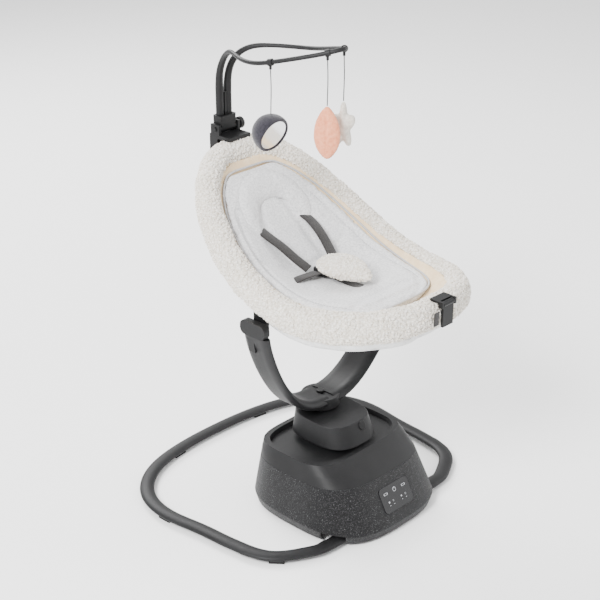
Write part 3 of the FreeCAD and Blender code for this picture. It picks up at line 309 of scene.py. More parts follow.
def flat_map(piece, axes=(0, 1)):
    """Lays the cloth's map over a piece by two of its own axes, in metres."""
    mesh = piece.data
    layer = mesh.uv_layers.get("Cloth") or mesh.uv_layers.new(name="Cloth")
    for loop in mesh.loops:
        spot = mesh.vertices[loop.vertex_index].co
        layer.data[loop.index].uv = (spot[axes[0]], spot[axes[1]])


def dress(piece, body, material, slot, *stands_for):
    piece.data.materials.clear()
    piece.data.materials.append(material)
    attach(piece, body)
    if stands_for:
        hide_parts(*stands_for)
    return piece


def apply_modifiers(piece):
    graph = bpy.context.evaluated_depsgraph_get()
    made = bpy.data.meshes.new_from_object(piece.evaluated_get(graph), depsgraph=graph)
    piece.modifiers.clear()
    piece.data = made
    return piece


def plump(piece, voxel, cap):
    """Remeshes a closed pad, blows it up gently as cloth, and limits how far any point moves."""
    remesh = piece.modifiers.new("Even", "REMESH")
    remesh.mode = "VOXEL"
    remesh.voxel_size = voxel
    apply_modifiers(piece)
    rest = [vertex.co.copy() for vertex in piece.data.vertices]
    cloth = piece.modifiers.new("Cloth", "CLOTH")
    cloth.settings.use_pressure = True
    cloth.settings.uniform_pressure_force = CLOTH_PRESSURE
    cloth.settings.effector_weights.gravity = 0
    cloth.settings.quality = 4
    cloth.point_cache.frame_start = 1
    cloth.point_cache.frame_end = CLOTH_FRAMES
    scene = bpy.context.scene
    for step in range(1, CLOTH_FRAMES + 1):
        scene.frame_set(step)
    apply_modifiers(piece)
    scene.frame_set(1)
    for vertex, home in zip(piece.data.vertices, rest):
        move = vertex.co - home
        if move.length > cap:
            vertex.co = home + move.normalized() * cap
    return finish_normals(piece)


def roughen(piece, scale, depth, seed=0.0):
    """Soft hollows and rises along the normals."""
    offset = Vector((seed, seed * 0.7, -seed))
    moves = [vertex.normal * depth * noise.noise(vertex.co * scale + offset)
             for vertex in piece.data.vertices]
    for vertex, move in zip(piece.data.vertices, moves):
        vertex.co += move
    return piece


# ------------------------------------------------------------------ geometry node trees
def new_tree(name, floats):
    tree = bpy.data.node_groups.new(name, "GeometryNodeTree")
    tree.interface.new_socket("Geometry", in_out="INPUT", socket_type="NodeSocketGeometry")
    for label, value in floats:
        socket = tree.interface.new_socket(label, in_out="INPUT", socket_type="NodeSocketFloat")
        socket.default_value = value
    tree.interface.new_socket("Finish", in_out="INPUT", socket_type="NodeSocketMaterial")
    tree.interface.new_socket("Geometry", in_out="OUTPUT", socket_type="NodeSocketGeometry")
    return tree, tree.nodes.new("NodeGroupInput"), tree.nodes.new("NodeGroupOutput")


def set_input(modifier, label, value):
    for item in modifier.node_group.interface.items_tree:
        if item.item_type == "SOCKET" and item.in_out == "INPUT" and item.name == label:
            modifier[item.identifier] = value


def curl_tree():
    """Little rounded curls scattered over a surface, each turned and sized a little differently."""
    tree, start, end = new_tree("FleeceCurls", (("Density", 36000.0), ("Curl Radius", 0.0033)))
    make, link = tree.nodes.new, tree.links.new
    scatter = make("GeometryNodeDistributePointsOnFaces")
    scatter.inputs["Seed"].default_value = 7
    link(start.outputs["Geometry"], scatter.inputs["Mesh"])
    link(start.outputs["Density"], scatter.inputs["Density"])
    curl = make("GeometryNodeMeshIcoSphere")
    curl.inputs["Subdivisions"].default_value = 1
    link(start.outputs["Curl Radius"], curl.inputs["Radius"])
    sizes = make("FunctionNodeRandomValue")
    sizes.data_type = "FLOAT_VECTOR"
    sizes.inputs[0].default_value = (0.7, 0.7, 0.45)
    sizes.inputs[1].default_value = (1.5, 1.2, 0.9)
    sizes.inputs["Seed"].default_value = 11
    turns = make("FunctionNodeRandomValue")
    turns.data_type = "FLOAT_VECTOR"
    turns.inputs[0].default_value = (-0.6, -0.6, 0.0)
    turns.inputs[1].default_value = (0.6, 0.6, 6.28)
    turns.inputs["Seed"].default_value = 5
    place = make("GeometryNodeInstanceOnPoints")
    link(scatter.outputs["Points"], place.inputs["Points"])
    link(curl.outputs["Mesh"], place.inputs["Instance"])
    spin = make("FunctionNodeRotateRotation")
    spin.rotation_space = "LOCAL"
    to_turn = make("FunctionNodeEulerToRotation")
    link(turns.outputs[0], to_turn.inputs[0])
    link(scatter.outputs["Rotation"], spin.inputs[0])
    link(to_turn.outputs[0], spin.inputs[1])
    link(spin.outputs[0], place.inputs["Rotation"])
    link(sizes.outputs[0], place.inputs["Scale"])
    real = make("GeometryNodeRealizeInstances")
    link(place.outputs[0], real.inputs[0])
    join = make("GeometryNodeJoinGeometry")
    link(start.outputs["Geometry"], join.inputs[0])
    link(real.outputs[0], join.inputs[0])
    smooth = make("GeometryNodeSetShadeSmooth")
    link(join.outputs[0], smooth.inputs[0])
    paint = make("GeometryNodeSetMaterial")
    link(smooth.outputs[0], paint.inputs["Geometry"])
    link(start.outputs["Finish"], paint.inputs["Material"])
    link(paint.outputs[0], end.inputs[0])
    return tree


def stitch_tree():
    """A row of short raised stitches along a path of edges."""
    tree, start, end = new_tree("Stitches", (("Pitch", 0.006), ("Thread", 0.0006)))
    make, link = tree.nodes.new, tree.links.new
    path = make("GeometryNodeMeshToCurve")
    link(start.outputs["Geometry"], path.inputs["Mesh"])
    spaced = make("GeometryNodeResampleCurve")
    spaced.mode = "LENGTH"
    link(path.outputs[0], spaced.inputs["Curve"])
    link(start.outputs["Pitch"], spaced.inputs["Length"])
    points = make("GeometryNodeInstanceOnPoints")
    stitch = make("GeometryNodeMeshCylinder")
    stitch.inputs["Vertices"].default_value = 6
    link(start.outputs["Thread"], stitch.inputs["Radius"])
    length = make("ShaderNodeMath")
    length.operation = "MULTIPLY"
    length.inputs[1].default_value = 0.62
    link(start.outputs["Pitch"], length.inputs[0])
    link(length.outputs[0], stitch.inputs["Depth"])
    along = make("GeometryNodeInputTangent")
    align = make("FunctionNodeAlignRotationToVector")
    align.axis = "Z"
    link(along.outputs[0], align.inputs["Vector"])
    link(spaced.outputs[0], points.inputs["Points"])
    link(stitch.outputs["Mesh"], points.inputs["Instance"])
    link(align.outputs[0], points.inputs["Rotation"])
    real = make("GeometryNodeRealizeInstances")
    link(points.outputs[0], real.inputs[0])
    paint = make("GeometryNodeSetMaterial")
    link(real.outputs[0], paint.inputs["Geometry"])
    link(start.outputs["Finish"], paint.inputs["Material"])
    link(paint.outputs[0], end.inputs[0])
    return tree


def run_tree(piece, tree, material, **values):
    modifier = piece.modifiers.new(tree.name, "NODES")
    modifier.node_group = tree
    for label, value in values.items():
        set_input(modifier, label.replace("_", " "), value)
    set_input(modifier, "Finish", material)
    return apply_modifiers(piece)


def stitched_row(name, path, material):
    """Stitches along points in millimetres, as one plain mesh."""
    points = [Vector(point) * MM for point in path]
    mesh = bpy.data.meshes.new(name)
    mesh.from_pydata(points, [(index, index + 1) for index in range(len(points) - 1)], [])
    row = bpy.data.objects.new(name, mesh)
    bpy.context.scene.collection.objects.link(row)
    return run_tree(row, STITCHES, material)


# ------------------------------------------------------------------ the seat's rule, in millimetres
HALF_WIDTH, MIDDLE, FRONT, REAR = 188.0, 35.0, 255.0, 270.0
ROUNDNESS = 2.4
SHELL_FLOOR = [(-228.0, 455.0), (-200.0, 442.0), (-160.0, 430.0), (-100.0, 420.0), (-40.0, 409.0),
               (20.0, 402.0), (70.0, 407.0), (110.0, 428.0), (160.0, 470.0), (210.0, 525.0),
               (250.0, 568.0), (285.0, 604.0)]


def crest_height(y):
    if y < -60.0:
        return 505.0 + 0.0006 * (-60.0 - y) ** 2
    return 505.0 + 560.0 * (math.sqrt(1 + ((y + 60.0) / 400.0) ** 2) - 1)


def crest_point(turn, inset=0.0, drop=0.0):
    ends = REAR if math.sin(turn) >= 0 else FRONT
    hx = HALF_WIDTH - inset
    hy = ends - inset
    across, along = abs(math.cos(turn) / hx), abs(math.sin(turn) / hy)
    reach = (across ** ROUNDNESS + along ** ROUNDNESS) ** (-1 / ROUNDNESS)
    y = MIDDLE + reach * math.sin(turn)
    return Vector((reach * math.cos(turn), y, crest_height(y * (1 + inset / hy)) - drop))


def half_span(y, inset):
    ends = REAR if y >= MIDDLE else FRONT
    share = abs(y - MIDDLE) / (ends - inset)
    return (HALF_WIDTH - inset) * max(0.02, 1 - min(0.999, share) ** ROUNDNESS) ** (1 / ROUNDNESS)


def floor_line(y):
    for (y_low, z_low), (y_high, z_high) in zip(SHELL_FLOOR, SHELL_FLOOR[1:]):
        if y <= y_high:
            share = max(0.0, (y - y_low) / (y_high - y_low))
            return z_low + (z_high - z_low) * share
    return SHELL_FLOOR[-1][1]


def smooth_floor(y):
    return sum(floor_line(y + shift) for shift in (-16, -8, 0, 8, 16)) / 5


def layer_height(share, y, inset, drop, lift):
    """Height of a layer at y: a dish that climbs to the rim all round."""
    top = crest_height(y) - drop
    bottom = min(smooth_floor(y) + lift, top - 4.0)
    ends = REAR if y >= MIDDLE else FRONT
    end_share = min(1.0, abs(y - MIDDLE) / (ends - inset))
    bottom += (top - bottom) * 0.9 * end_share ** 3.2
    return bottom + (top - bottom) * min(1.0, abs(share)) ** 3.2


def swell(y):
    return 18.0 * min(1.0, max(0.0, (190.0 - y) / 90.0))


def cushion_top(x, y):
    return layer_height(x / half_span(y, INNER_INSET), y, INNER_INSET, INNER_DROP, INNER_LIFT + swell(y))


def fold(x, y, z, size, depth, seed):
    return depth * noise.noise(Vector((x / size + seed, y / size, z / size)))


# ------------------------------------------------------------------ fabric pieces
def fleece_roll():
    """The fleece cuff that wraps the seat's rim."""
    rings = []
    around = 220
    ring_count = 30
    for step in range(around):
        turn = 2 * math.pi * step / around
        here = crest_point(turn, 2.0, 29.0)
        ahead = crest_point(turn + 0.01, 2.0, 29.0)
        along = (ahead - here).normalized()
        across = Vector((along.y, -along.x, 0)).normalized()
        rise = along.cross(across).normalized()
        if rise.z < 0:
            rise = -rise
        ring = []
        for spot in range(ring_count):
            angle = 2 * math.pi * spot / ring_count
            side, tall = math.cos(angle), math.sin(angle)
            side = math.copysign(abs(side) ** 0.85, side)
            lean = 3.0 * max(0.0, tall)
            thick = (20.0 if side > 0 else 24.5) + 1.5 * max(0.0, tall)
            point = here + across * (side * thick - lean) + rise * (tall * 28.0)
            point += (across * side + rise * tall) * fold(point.x, point.y, point.z, 30.0, 2.4, 3.1)
            ring.append(point)
        rings.append(ring)
    roll = rings_to_mesh("fleece_rim_cuff", rings, loop=True)
    run_tree(roll, CURLS, looks["fleece"], Density=33000.0, Curl_Radius=0.0036)
    dress(roll, "seat", looks["fleece"], "white_fleece", "fleece_rim")


def layer_piece(name, outer, inner, front, rear, crease, skirted=False):
    """A layer of the seat between two U curves, with the slack folds of cut cloth."""
    rings = []
    count = 72
    steps = 24
    for index in range(count + 1):
        y = front + (rear - front) * (1 - math.cos(math.pi * index / count)) / 2
        ring = []
        for spot in range(-steps, steps + 1):
            share = math.sin(math.pi / 2 * spot / steps)
            x = half_span(y, outer[0]) * share
            z = layer_height(share, y, *outer)
            ring.append(Vector((x, y, z - crease * (1 - abs(share) ** 6) * abs(fold(x, y, z, 46.0, 1.0,
                    5.0)))))
        if skirted:
            top = crest_height(y)
            wide, slim = half_span(y, -5.0), half_span(y, 0.0)
            ring += [Vector((wide - 4.0, y, top - 62.0)), Vector((wide, y, top - 46.0)),
                     Vector((slim - 12.0, y, top - 46.0))]
            ring[:0] = [Vector((12.0 - slim, y, top - 46.0)), Vector((-wide, y, top - 46.0)),
                        Vector((4.0 - wide, y, top - 62.0))]
        for spot in range(steps, -steps - 1, -1):
            share = math.sin(math.pi / 2 * spot / steps)
            x = half_span(y, inner[0]) * share
            ring.append(Vector((x, y, layer_height(share, y, *inner))))
        rings.append(ring)
    return rings_to_mesh(name, rings)


def outer_cover():
    """White cover under the fleece, with a plain strip that tucks up inside the cuff."""
    cover = layer_piece("seat_cover_cloth", (9.0, 76.0, 0.0), (21.5, 65.0, 24.0), -200.0, 276.0, 4.0, True)
    roughen(cover, 22.0, 0.0014, 4.0)
    dress(cover, "seat", looks["outer"], "white_fabric", "seat_outer_cover")


def lining():
    cloth = layer_piece("inner_lining_cloth", (24.0, 10.0, 24.8), (28.0, 10.0, 28.8), -194.0, 279.0, 0.0)
    roughen(cloth, 30.0, 0.0018, 9.0)
    dress(cloth, "seat", looks["lining"], "beige_fabric", "inner_lining")


PAD_MIDDLE, PAD_REACH, PAD_HALF = 61.0, 203.0, 152.0
PAD_ROUND = 11.0
SEAM_INSET = 26.0
INNER_INSET, INNER_DROP, INNER_LIFT = 56.6, 10.0, 55.6


def pad_half(y):
    share = min(1.0, abs(y - PAD_MIDDLE) / PAD_REACH)
    outline = PAD_HALF * (1 - share ** 3.0) ** (1 / 3.0)
    return max(2.0, min(outline, half_span(y, 34.0)))


def pad_floor(x, y):
    return layer_height(x / half_span(y, 29.8), y, 29.8, 10.0, 29.8)


def pad_bowl(x, y):
    """The cushion's open face: a bowl whose lip reaches the rim's crest at the head."""
    edge = crest_height(y) - 14.0 + 11.0 * min(1.0, max(0.0, (y + 60.0) / 260.0))
    bottom = min(smooth_floor(y) + INNER_LIFT + swell(y), edge - 3.0)
    climb = min(1.0, max(0.0, (y - 60.0) / 200.0))
    bottom += (edge - bottom) * 0.9 * climb ** 2.6
    return bottom + (edge - bottom) * min(1.0, abs(x) / pad_half(y)) ** 2.3


def pad_top(x, y):
    side = min(1.0, abs(x) / pad_half(y))
    end = min(1.0, abs(y - PAD_MIDDLE) / PAD_REACH)
    full = (1 - side ** 14) ** 0.5 * (1 - end ** 22) ** 0.5
    return pad_bowl(x, y) - PAD_ROUND * (1 - full)


def seat_pad():
    """The removable newborn cushion with its sewn channels and piped edge."""
    rings = []
    count = 60
    steps = 26
    for index in range(count + 1):
        y = PAD_MIDDLE - PAD_REACH * math.cos(math.pi * index / count) * 0.999
        half = pad_half(y)
        upper = []
        lower = []
        for spot in range(-steps, steps + 1):
            x = half * math.sin(math.pi / 2 * spot / steps)
            upper.append(Vector((x, y, pad_top(x, y))))
            top = pad_top(x, y)
            lower.append(Vector((x, y, min(top - 2.0, max(pad_floor(x, y), top - 30.0)))))
        rings.append(upper + lower[::-1])
    pad = rings_to_mesh("newborn_cushion", rings)
    plump(pad, 0.0055, 0.003)
    sew_channels(pad)
    pad.modifiers.new("Soft", "SUBSURF").levels = 1
    pad.modifiers["Soft"].render_levels = 1
    apply_modifiers(pad)
    flat_map(pad)
    dress(pad, "seat", looks["jersey"], "heather_jersey", "seat_insert")

    edge = []
    for step in range(161):
        turn = 2 * math.pi * step / 160
        y = PAD_MIDDLE + PAD_REACH * 0.995 * math.sin(turn)
        x = math.copysign(pad_half(y), math.cos(turn))
        edge.append(Vector((x, y, pad_bowl(x, y) - PAD_ROUND + 2.0)))
    piping = tube_piece("cushion_piping", edge[:-1], 2.2, loop=True)
    flat_map(piping)
    dress(piping, "seat", looks["piping"], "heather_jersey")
    for sign in (-1, 1):
        seam = [Vector((sign * (pad_half(y) - SEAM_INSET), y, pad_bowl(pad_half(y) - SEAM_INSET, y) - 0.6))
                for y in range(-90, 196, 6)]
        row = stitched_row("cushion_stitches", seam, looks["piping"])
        flat_map(row)
        dress(row, "seat", looks["piping"], "heather_jersey")


def channel_gap(x, y):
    """Distance in millimetres from the cushion's nearest sewn line."""
    arch_top = 225.0
    share = min(1.0, max(0.0, (y - 150.0) / (arch_top - 150.0)))
    panel = 42.0 * math.sqrt(1 - share ** 2)
    lines = [abs(abs(x) - (pad_half(y) - SEAM_INSET)) if y < 200.0 else 99.0]
    if 96.0 < y < arch_top:
        lines.append(abs(abs(x) - panel))
    if abs(x) < pad_half(y) - SEAM_INSET:
        lines.append(abs(y - 92.0 - 0.0011 * x * x))
        lines.append(abs(y + 84.0 + 0.0018 * x * x))
    return min(lines)


def sew_channels(pad):
    for vertex in pad.data.vertices:
        if vertex.normal.z > 0.2:
            gap = channel_gap(vertex.co.x / MM, vertex.co.y / MM)
            vertex.co -= vertex.normal * 0.0048 * math.exp(-(gap / 6.0) ** 2)
            vertex.co += vertex.normal * 0.0022 * noise.noise(vertex.co * 24.0)


def tube_piece(name, path, radius, loop=False):
    rings = []
    total = len(path)
    for index, point in enumerate(path):
        ahead = path[(index + 1) % total] if loop else path[min(index + 1, total - 1)]
        behind = path[index - 1] if loop or index else path[0]
        along = (ahead - behind).normalized()
        across = along.cross(UP)
        across = across.normalized() if across.length > 0.1 else Vector((1, 0, 0))
        rise = along.cross(across).normalized()
        turns = [2 * math.pi * side / TUBE_SIDES for side in range(TUBE_SIDES)]
        rings.append([point + across * (radius * math.cos(turn)) + rise * (radius * math.sin(turn))
                      for turn in turns])
    return rings_to_mesh(name, rings, loop=loop)


def head_pillow():
    """A wide crescent bolster that hugs the head, fading into the cushion at its two ends."""
    rings = []
    count = 72
    for index in range(count + 1):
        share = 2.0 * index / count - 1.0
        turn = math.radians(90.0 + 104.0 * share)
        fat = max(0.04, 1 - abs(share) ** 5) ** 0.5
        ring = []
        for spot in range(22):
            angle = 2 * math.pi * spot / 22
            reach = 22.0 * fat * math.cos(angle)
            x = (72.0 + reach) * math.cos(turn)
            y = 176.0 + (52.0 + reach) * math.sin(turn)
            ring.append(Vector((x, y, pad_bowl(x, y) + 4.0 + 10.0 * fat * math.sin(angle))))
        rings.append(ring)
    pillow = rings_to_mesh("head_support_pillow", rings)
    plump(pillow, 0.004, 0.003)
    roughen(pillow, 60.0, 0.0012, 2.0)
    flat_map(pillow)
    dress(pillow, "seat", looks["jersey"], "heather_jersey", "head_hug_cushion")


def eased(points):
    """A smooth line through the points."""
    path = []
    for index in range(len(points) - 1):
        before = points[max(index - 1, 0)]
        first, second = points[index], points[index + 1]
        after = points[min(index + 2, len(points) - 1)]
        for step in range(EASED_STEPS):
            t = step / EASED_STEPS
            path.append(0.5 * (2 * first + (second - before) * t
                               + (2 * before - 5 * first + 4 * second - after) * t * t
                               + (3 * first - before - 3 * second + after) * t ** 3))
    path.append(points[-1].copy())
    return path


def ribbon(name, points, across, wide, thick):
    """Flat webbing with rounded selvedges along a smooth line."""
    path = eased(points)
    rings = []
    for index, point in enumerate(path):
        along = (path[min(index + 1, len(path) - 1)] - path[max(index - 1, 0)]).normalized()
        side = (across - along * across.dot(along)).normalized()
        rise = along.cross(side).normalized()
        ring = []
        for spot in range(16):
            angle = 2 * math.pi * spot / 16
            flat = math.copysign(abs(math.cos(angle)) ** 0.45, math.cos(angle))
            ring.append(point + side * (flat * wide / 2) + rise * (math.sin(angle) * thick / 2))
        rings.append(ring)
    return rings_to_mesh(name, rings)


def join(name, parts):
    work = bmesh.new()
    for part in parts:
        work.from_mesh(part.data)
        bpy.data.objects.remove(part)
    mesh = bpy.data.meshes.new(name)
    work.to_mesh(mesh)
    work.free()
    made = bpy.data.objects.new(name, mesh)
    bpy.context.scene.collection.objects.link(made)
    for face in mesh.polygons:
        face.use_smooth = True
    return made


def harness():
    shoulder = []
    for sign in (-1, 1):
        route = [Vector((sign * 60.0, 176.0, pad_bowl(60.0, 176.0) - 2.0)),
                 Vector((sign * 60.0, 152.0, pad_bowl(60.0, 152.0) + 13.0)),
                 Vector((sign * 54.0, 122.0, cushion_top(54.0, 122.0) + 25.0)),
                 Vector((sign * 46.0, 92.0, cushion_top(46.0, 92.0) + 24.0)),
                 Vector((sign * 36.0, 66.0, cushion_top(36.0, 68.0) + 18.0))]
        shoulder.append(ribbon("Shoulder", route, Vector((1, 0, 0)), 24.0, 4.0))
        waist = [Vector((sign * 20.0, 54.0, cushion_top(34.0, 52.0) + 14.0)),
                 Vector((sign * 62.0, 58.0, cushion_top(62.0, 56.0) + 11.4)),
                 Vector((sign * 82.0, 61.0, pad_bowl(82.0, 61.0) + 1.0))]
        shoulder.append(ribbon("Waist", waist, Vector((0, 1, 0)), 22.0, 2.6))
    straps = join("harness_webbing", shoulder)
    dress(straps, "seat", looks["webbing"], "dark_webbing", "harness_straps")
    floor = cushion_top(0.0, 60.0)
    route = [Vector((0, -64.0, cushion_top(0, -64.0) + 1.0)), Vector((0, -20.0, cushion_top(0,
            -20.0) + 3.0)),
             Vector((0, 42.0, floor + 6.2))]
    crotch = ribbon("crotch_webbing", route, Vector((1, 0, 0)), 22.0, 2.6)
    dress(crotch, "seat", looks["webbing"], "dark_webbing", "crotch_strap")


def puffed(name, centre, across, upward, outline, thick, rings=9, spokes=48):
    """A stuffed shape: an outline in two directions, domed on both faces."""
    normal = across.cross(upward).normalized()
    points = [centre + normal * thick / 2]
    layers = [(math.sin(math.pi / 2 * index / rings), 1) for index in range(1, rings + 1)]
    layers += [(share, -1) for share, _ in reversed(layers[:-1])]
    for share, face in layers:
        height = face * thick / 2 * max(0.0, 1 - share ** 2) ** 0.5
        for spoke in range(spokes):
            wide, tall = outline(2 * math.pi * spoke / spokes)
            points.append(centre + across * (wide * share) + upward * (tall * share) + normal * height)
    points.append(centre - normal * thick / 2)
    last = len(points) - 1
    faces = [(0, 1 + spoke, 1 + (spoke + 1) % spokes) for spoke in range(spokes)]
    for layer in range(len(layers) - 1):
        first = 1 + layer * spokes
        for spoke in range(spokes):
            ahead = (spoke + 1) % spokes
            faces.append((first + spoke, first + spokes + spoke, first + spokes + ahead, first + ahead))
    first = 1 + (len(layers) - 1) * spokes
    faces += [(last, first + (spoke + 1) % spokes, first + spoke) for spoke in range(spokes)]
    made = finish_normals(mesh_object(name, [point * MM for point in points], faces))
    return made


def crotch_pad():
    """Fleece cover over the buckle, broad at the waist and narrow between the legs."""
    def outline(turn):
        tall = 62.0 * math.sin(turn)
        wide = (44.0 + 18.0 * math.sin(turn) - 5.0 * math.sin(turn) ** 2) * math.cos(turn)
        return wide, tall
    floor = cushion_top(0.0, 60.0)
    pad = puffed("buckle_cover_pad", Vector((0, 0, 0)), Vector((1, 0, 0)), Vector((0, 1, 0)), outline,
                 24.0)
    for vertex in pad.data.vertices:
        y = vertex.co.y / MM
        lift = 18.0 + 18.0 * min(1.0, max(0.0, (y + 66.0) / 88.0)) ** 0.8
        vertex.co.z += (max(cushion_top(0, y), floor - 6.0) + lift) * MM
    plump(pad, 0.004, 0.003)
    run_tree(pad, CURLS, looks["fleece"], Density=33000.0, Curl_Radius=0.0027)
    dress(pad, "seat", looks["fleece"], "white_fleece", "crotch_pad")


def tags():
    out = crest_point(math.radians(62), -18.4, 25.0)
    ahead = crest_point(math.radians(66), -18.4, 25.0)
    flow = (ahead - out).normalized()
    side = ribbon("side_tag_tape", [out - flow * 13, out + flow * 13], UP, 13.0, 1.8)
    dress(side, "seat", looks["tag"], "tag_fabric", "sewn_tags")
    low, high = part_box("recline_lever")
    low, high = low / MM, high / MM
    x = low.x - 17.0
    foot = ribbon("foot_pull_tab", [Vector((x, low.y + 4.5, low.z + 10)), Vector((x, low.y + 4.0,
            low.z + 36))],
                  Vector((1, 0, 0)), 15.0, 2.0)
    dress(foot, "seat", looks["webbing"], "dark_webbing")


def skirt():
    """Heathered cloth stretched over the housing, open for the panel and the floor ring."""
    stations = [(5.0, 153.0, 158.0, 0.0, 3.1), (23.0, 158.0, 163.0, 0.0, 3.1), (107.0, 141.0, 132.0,
            16.0, 3.3)]
    panel_low, panel_high = (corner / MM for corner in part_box("control_panel"))
    spokes, levels = 288, 60
    rows = []
    for level in range(levels + 1):
        z = 5.0 + 102.0 * level / levels
        low, high = (stations[0], stations[1]) if z <= 23.0 else (stations[1], stations[2])
        share = (z - low[0]) / (high[0] - low[0])
        hx, hy, centre, power = [a + (b - a) * share for a, b in zip(low[1:], high[1:])]
        row = []
        for spoke in range(spokes):
            turn = 2 * math.pi * spoke / spokes
            reach = (abs(math.cos(turn) / hx) ** power + abs(math.sin(turn) / hy) ** power) ** (-1 / power)
            row.append(Vector((reach * math.cos(turn), centre + reach * math.sin(turn), z)))
        rows.append(row)
    points = [point * MM for row in rows for point in row]
    faces = []
    for level in range(levels):
        for spoke in range(spokes):
            ahead = (spoke + 1) % spokes
            middle = (rows[level][spoke] + rows[level + 1][ahead]) / 2
            in_panel = (middle.y < 0 and panel_low.x + 3 < middle.x < panel_high.x - 3
                        and panel_low.z + 3 < middle.z < panel_high.z - 3)
            in_notch = abs(middle.x) > 100 and -124 < middle.y < -78 and middle.z < 23.5
            if not in_panel and not in_notch:
                faces.append((level * spokes + spoke, level * spokes + ahead,
                              (level + 1) * spokes + ahead, (level + 1) * spokes + spoke))
    uvs = [(math.atan2(point.y, point.x) * 0.15, point.z) for point in points]
    cloth = mesh_object("base_skirt_cloth", points, faces, uvs)
    for face in cloth.data.polygons:
        face.use_smooth = True
    thick = cloth.modifiers.new("Cloth thickness", "SOLIDIFY")
    thick.thickness = 0.0012
    thick.offset = -1
    apply_modifiers(cloth)
    dress(cloth, "base", looks["skirt"], "base_fabric", "skirt_fabric")


# ------------------------------------------------------------------ toys
def toy_spots():
    spots = {}
    for toy in ("mirror", "leaf", "star"):
        low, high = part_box(toy + "_toy_cord")
        spots[toy] = Vector(((low.x + high.x) / 2, (low.y + high.y) / 2, high.z)), low.z
    return spots


def toy_cords():
    for toy, (top, bottom) in toy_spots().items():
        length = top.z - bottom
        route = [(0.0, 0.0), (0.12, 0.0004), (0.35, 0.0014), (0.62, 0.001), (0.85, 0.0002), (1.0, 0.0)]
        data = bpy.data.curves.new(toy + "_hanging_cord", "CURVE")
        data.dimensions = "3D"
        data.bevel_depth = 0.001
        data.bevel_resolution = 3
        data.use_fill_caps = True
        spline = data.splines.new("NURBS")
        spline.points.add(len(route) - 1)
        for point, (share, sway) in zip(spline.points, route):
            point.co = (top.x + sway, top.y, top.z - share * length, 1.0)
        spline.order_u = 3
        spline.use_endpoint_u = True
        cord = bpy.data.objects.new(toy + "_hanging_cord", data)
        bpy.context.scene.collection.objects.link(cord)
        cord.data.materials.append(looks["cord"])
        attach(cord, toy + "_toy")
        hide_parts(toy + "_toy_cord")


def leaf_toy():
    low, high = (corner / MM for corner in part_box("leaf_toy_body"))
    centre = (low + high) / 2
    half = (high.z - low.z) / 2
    across = Vector((0.5, -0.86, 0)).normalized()

    def outline(turn):
        tall = math.sin(turn)
        belly = math.cos(turn) * (1 - 0.35 * abs(tall) ** 3) * (1 - 0.12 * tall)
        return 25.0 * belly, half * tall
    leaf = puffed("leaf_toy_cushion", centre, across, UP, outline, 20.0, spokes=64, rings=14)
    normal = across.cross(UP).normalized()
    plump(leaf, 0.003, 0.002)
    for vertex in leaf.data.vertices:
        spot = vertex.co / MM - centre
        side = spot.dot(across)
        rib = math.exp(-(side / 2.2) ** 2)
        vein = abs(((spot.z - abs(side) * 0.9) / 15.0) % 1.0 - 0.5) * 15.0
        rib = max(rib, 0.7 * math.exp(-(vein / 1.8) ** 2))
        face = 1 if spot.dot(normal) > 0 else -1
        vertex.co -= normal * face * rib * 2.5 * MM * (abs(spot.dot(normal)) / 10.0)
    flat_map(leaf, (0, 2))
    dress(leaf, "leaf_toy", looks["peach"], "peach_muslin", "leaf_toy_body")


def star_toy():
    low, high = (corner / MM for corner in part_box("star_toy_body"))
    centre = (low + high) / 2
    half = (high.z - low.z) / 2
    across = Vector((0.5, -0.86, 0)).normalized()

    def outline(turn):
        lobe = 0.80 + 0.20 * math.cos(5 * (turn - math.pi / 2))
        return 24.0 * lobe * math.cos(turn), half * lobe * math.sin(turn)
    star = puffed("star_toy_cushion", centre, across, UP, outline, 25.0, spokes=70, rings=12)
    plump(star, 0.003, 0.002)
    flat_map(star, (0, 2))
    dress(star, "star_toy", looks["knit"], "cream_knit", "star_toy_body")


def mirror_toy():
    """Padded fabric bowl round the toy mirror, with a piped lip."""
    spot, bottom = toy_spots()["mirror"]
    radius = 36.0
    lean = UP.rotation_difference(Vector((0, -0.91, -0.35)).normalized()).to_matrix()
    centre = Vector((spot.x / MM, spot.y / MM, bottom / MM - 0.2 - radius))
    rings = []
    for index in range(19):
        angle = math.pi - (math.pi - math.acos(8.0 / radius)) * index / 18
        rings.append((radius * math.sin(angle), radius * math.cos(angle)))
    rings += [(33.6, 9.6), (31.4, 9.2), (30.4, 7.2), (30.0, 4.6)]
    spokes = 48
    mesh_rings = []
    for wide, tall in rings:
        ring = []
        for spoke in range(spokes):
            turn = 2 * math.pi * spoke / spokes
            gather = 1 + 0.008 * math.cos(6 * turn)
            ring.append(centre + lean @ Vector((wide * gather * math.cos(turn),
                                                wide * gather * math.sin(turn),
                                                tall)))
        mesh_rings.append(ring)
    bowl = rings_to_mesh("mirror_toy_bowl", mesh_rings)
    flat_map(bowl, (0, 2))
    dress(bowl, "mirror_toy", looks["plum"], "plum_jersey", "mirror_toy_body")


